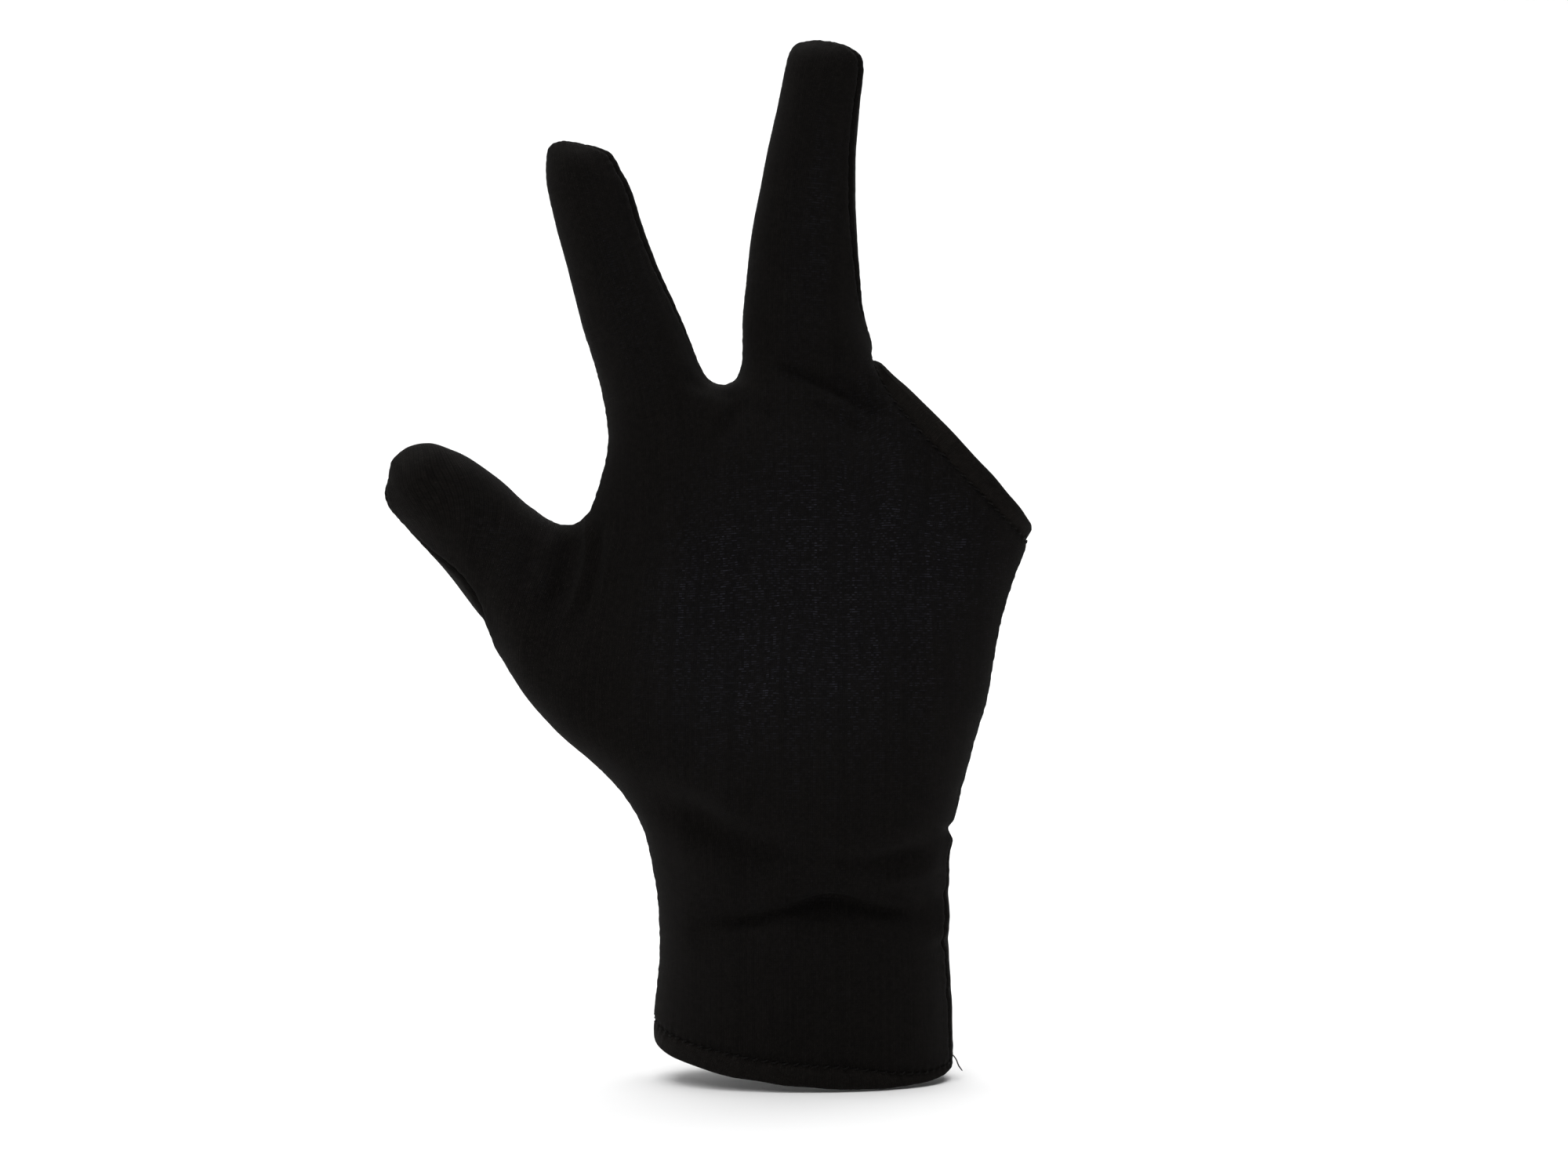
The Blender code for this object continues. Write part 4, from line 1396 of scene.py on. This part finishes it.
class ThreadTail:
    """The short end of sewing thread that hangs at the foot of the cuff's side seam."""

    STEPS = 14
    HALF_THICKNESS = 0.14 * MM
    END_SHARE = 0.7
    COURSE = ((-0.6, -1.0, 0.1), (0.3, -1.2, -0.3), (1.0, -1.5, -1.3), (1.3, -1.5, -2.4), (2.2, -1.3, -3.6))

    def __init__(self, line: Line, wardrobe: Wardrobe) -> None:
        """Hangs the tail from the place of the joint line furthest to the little finger's side."""
        start = line.places[line.places[:, 0].argmax()]
        knots = start + np.array(self.COURSE) * MM
        marks = np.linspace(0, len(knots) - 1, self.STEPS)
        points = np.stack([np.interp(marks, range(len(knots)), knots[:, axis]) for axis in range(3)], 1)
        for _ in range(2):
            points[1:-1] = (points[:-2] + 2 * points[1:-1] + points[2:]) / 4
        mesh = bmesh.new()
        Thread(self.HALF_THICKNESS).tube(mesh, points, self.END_SHARE)
        name = "thread_tail"
        place_object(name, made_mesh(name, mesh), wardrobe.material(SEWING_THREAD))


class Studio:
    """Camera, lights, floor and backdrop."""

    CAMERA_PLACE = Vector((-3.667, -650.0, 98.25)) * MM
    FRAME_WIDTH = 333.3 * MM
    SENSOR = 36.0
    FLOOR_GAP = 0.3 * MM
    FLOOR_HALF_WIDTH = 2.2
    FLOOR_FRONT = -2.0
    FLOOR_BACK = 1.3
    SWEEP_RADIUS = 0.6
    SWEEP_TOP = 2.2
    SWEEP_STEPS = 24
    ROOM_STRENGTH = 0.12

    def build(self) -> None:
        """Adds the camera, the lights and the stage."""
        self._camera()
        self._world()
        self._sweep(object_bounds()[0][2] - self.FLOOR_GAP)
        self._softbox("top_light", (0.0, 0.25, 1.5), (0.0, 0.1, 0.0), 1.8, 34.0)
        self._softbox("left_light", (-1.2, 0.2, 0.4), (0.0, 0.0, 0.1), 0.9, 3.0)
        self._softbox("front_light", (-0.35, -0.9, 1.15), (0.0, 0.0, 0.1), 0.9, 6.0)
        bpy.context.scene.view_settings.view_transform = "Standard"

    def _camera(self) -> None:
        """Adds the camera in front of the palm."""
        data = bpy.data.cameras.new("camera")
        data.sensor_width = self.SENSOR
        data.lens = self.SENSOR * -self.CAMERA_PLACE.y / self.FRAME_WIDTH
        data.clip_start = 0.02
        camera = bpy.data.objects.new("camera", data)
        camera.location = self.CAMERA_PLACE
        camera.rotation_euler = (radians(90), 0, 0)
        bpy.context.scene.collection.objects.link(camera)
        bpy.context.scene.camera = camera

    @staticmethod
    def _world() -> None:
        """Adds the even light of a white room."""
        world = bpy.data.worlds.new("white_room")
        world.use_nodes = True
        background = world.node_tree.nodes["Background"]
        background.inputs["Color"].default_value = (1, 1, 1, 1)
        background.inputs["Strength"].default_value = Studio.ROOM_STRENGTH
        bpy.context.scene.world = world

    @staticmethod
    def _softbox(
        name: str,
        place: tuple[float, float, float],
        aim: tuple[float, float, float],
        size: float,
        power: float,
    ) -> None:
        """Adds a square soft light that looks at a place."""
        data = bpy.data.lights.new(name, "AREA")
        data.size = size
        data.energy = power
        light = bpy.data.objects.new(name, data)
        light.location = place
        light.rotation_euler = (Vector(aim) - Vector(place)).to_track_quat("-Z", "Y").to_euler()
        bpy.context.scene.collection.objects.link(light)

    def _sweep(self, floor: float) -> None:
        """Adds the pale floor, at that height, which rises behind the glove in one curve."""
        turn = np.linspace(0.0, np.pi / 2, self.SWEEP_STEPS)
        curve_y = self.FLOOR_BACK - self.SWEEP_RADIUS + self.SWEEP_RADIUS * np.sin(turn)
        curve_z = floor + self.SWEEP_RADIUS - self.SWEEP_RADIUS * np.cos(turn)
        profile = [(self.FLOOR_FRONT, floor), *zip(curve_y, curve_z), (self.FLOOR_BACK, self.SWEEP_TOP)]
        verts = [(x, y, z) for y, z in profile for x in (-self.FLOOR_HALF_WIDTH, self.FLOOR_HALF_WIDTH)]
        faces = [(2 * n, 2 * n + 1, 2 * n + 3, 2 * n + 2) for n in range(len(profile) - 1)]
        mesh = bpy.data.meshes.new("floor_sweep")
        mesh.from_pydata([tuple(map(float, vert)) for vert in verts], [], faces)
        mesh.polygons.foreach_set("use_smooth", [True] * len(faces))
        paper = bpy.data.materials.new("pale_paper")
        paper.use_nodes = True
        paper.node_tree.nodes.clear()
        tree = Tree(paper.node_tree)
        place = tree.node("TexCoord").outputs["Object"]
        grain = tree.node("TexNoise", {"Vector": place, "Scale": 6.0, "Detail": 2.0}).outputs["Fac"]
        colour = tree.mix(grain, (0.90, 0.90, 0.90), (0.92, 0.92, 0.92))
        surface = tree.node(
            "BsdfPrincipled", {"Base Color": colour, "Roughness": 0.95, "Specular IOR Level": 0.1}
        )
        tree.node("OutputMaterial", {"Surface": surface.outputs[0]})
        mesh.materials.append(paper)
        sweep = bpy.data.objects.new("floor_sweep", mesh)
        bpy.context.scene.collection.objects.link(sweep)
        sweep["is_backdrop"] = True


def main() -> None:
    """Builds the glove piece by piece."""
    logging.basicConfig(level=logging.INFO, format="%(name)s: %(message)s")
    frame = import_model()
    solids = Solids(frame["nodes"])
    cloth = Cloth(solids)
    wardrobe = Wardrobe()
    for part in PANELS:
        Panel(part, cloth, wardrobe)
    for part in (Part.CUFF_HEM, Part.OPENING_HEM):
        Hem(part, solids, cloth, wardrobe)
    opening_line, cuff_line = sorted(cloth.joints, key=lambda line: -line.places[:, 2].mean())
    Stitches("cuff_hem_stitches", Part.CUFF_HEM, cuff_line, cloth, (HEM_ROW,), wardrobe)
    rows = (HEM_ROW, SECOND_ROW)
    Stitches("opening_hem_stitches", Part.OPENING_HEM, opening_line, cloth, rows, wardrobe)
    ThreadTail(cuff_line, wardrobe)
    Studio().build()


if __name__ == "__main__":
    main()
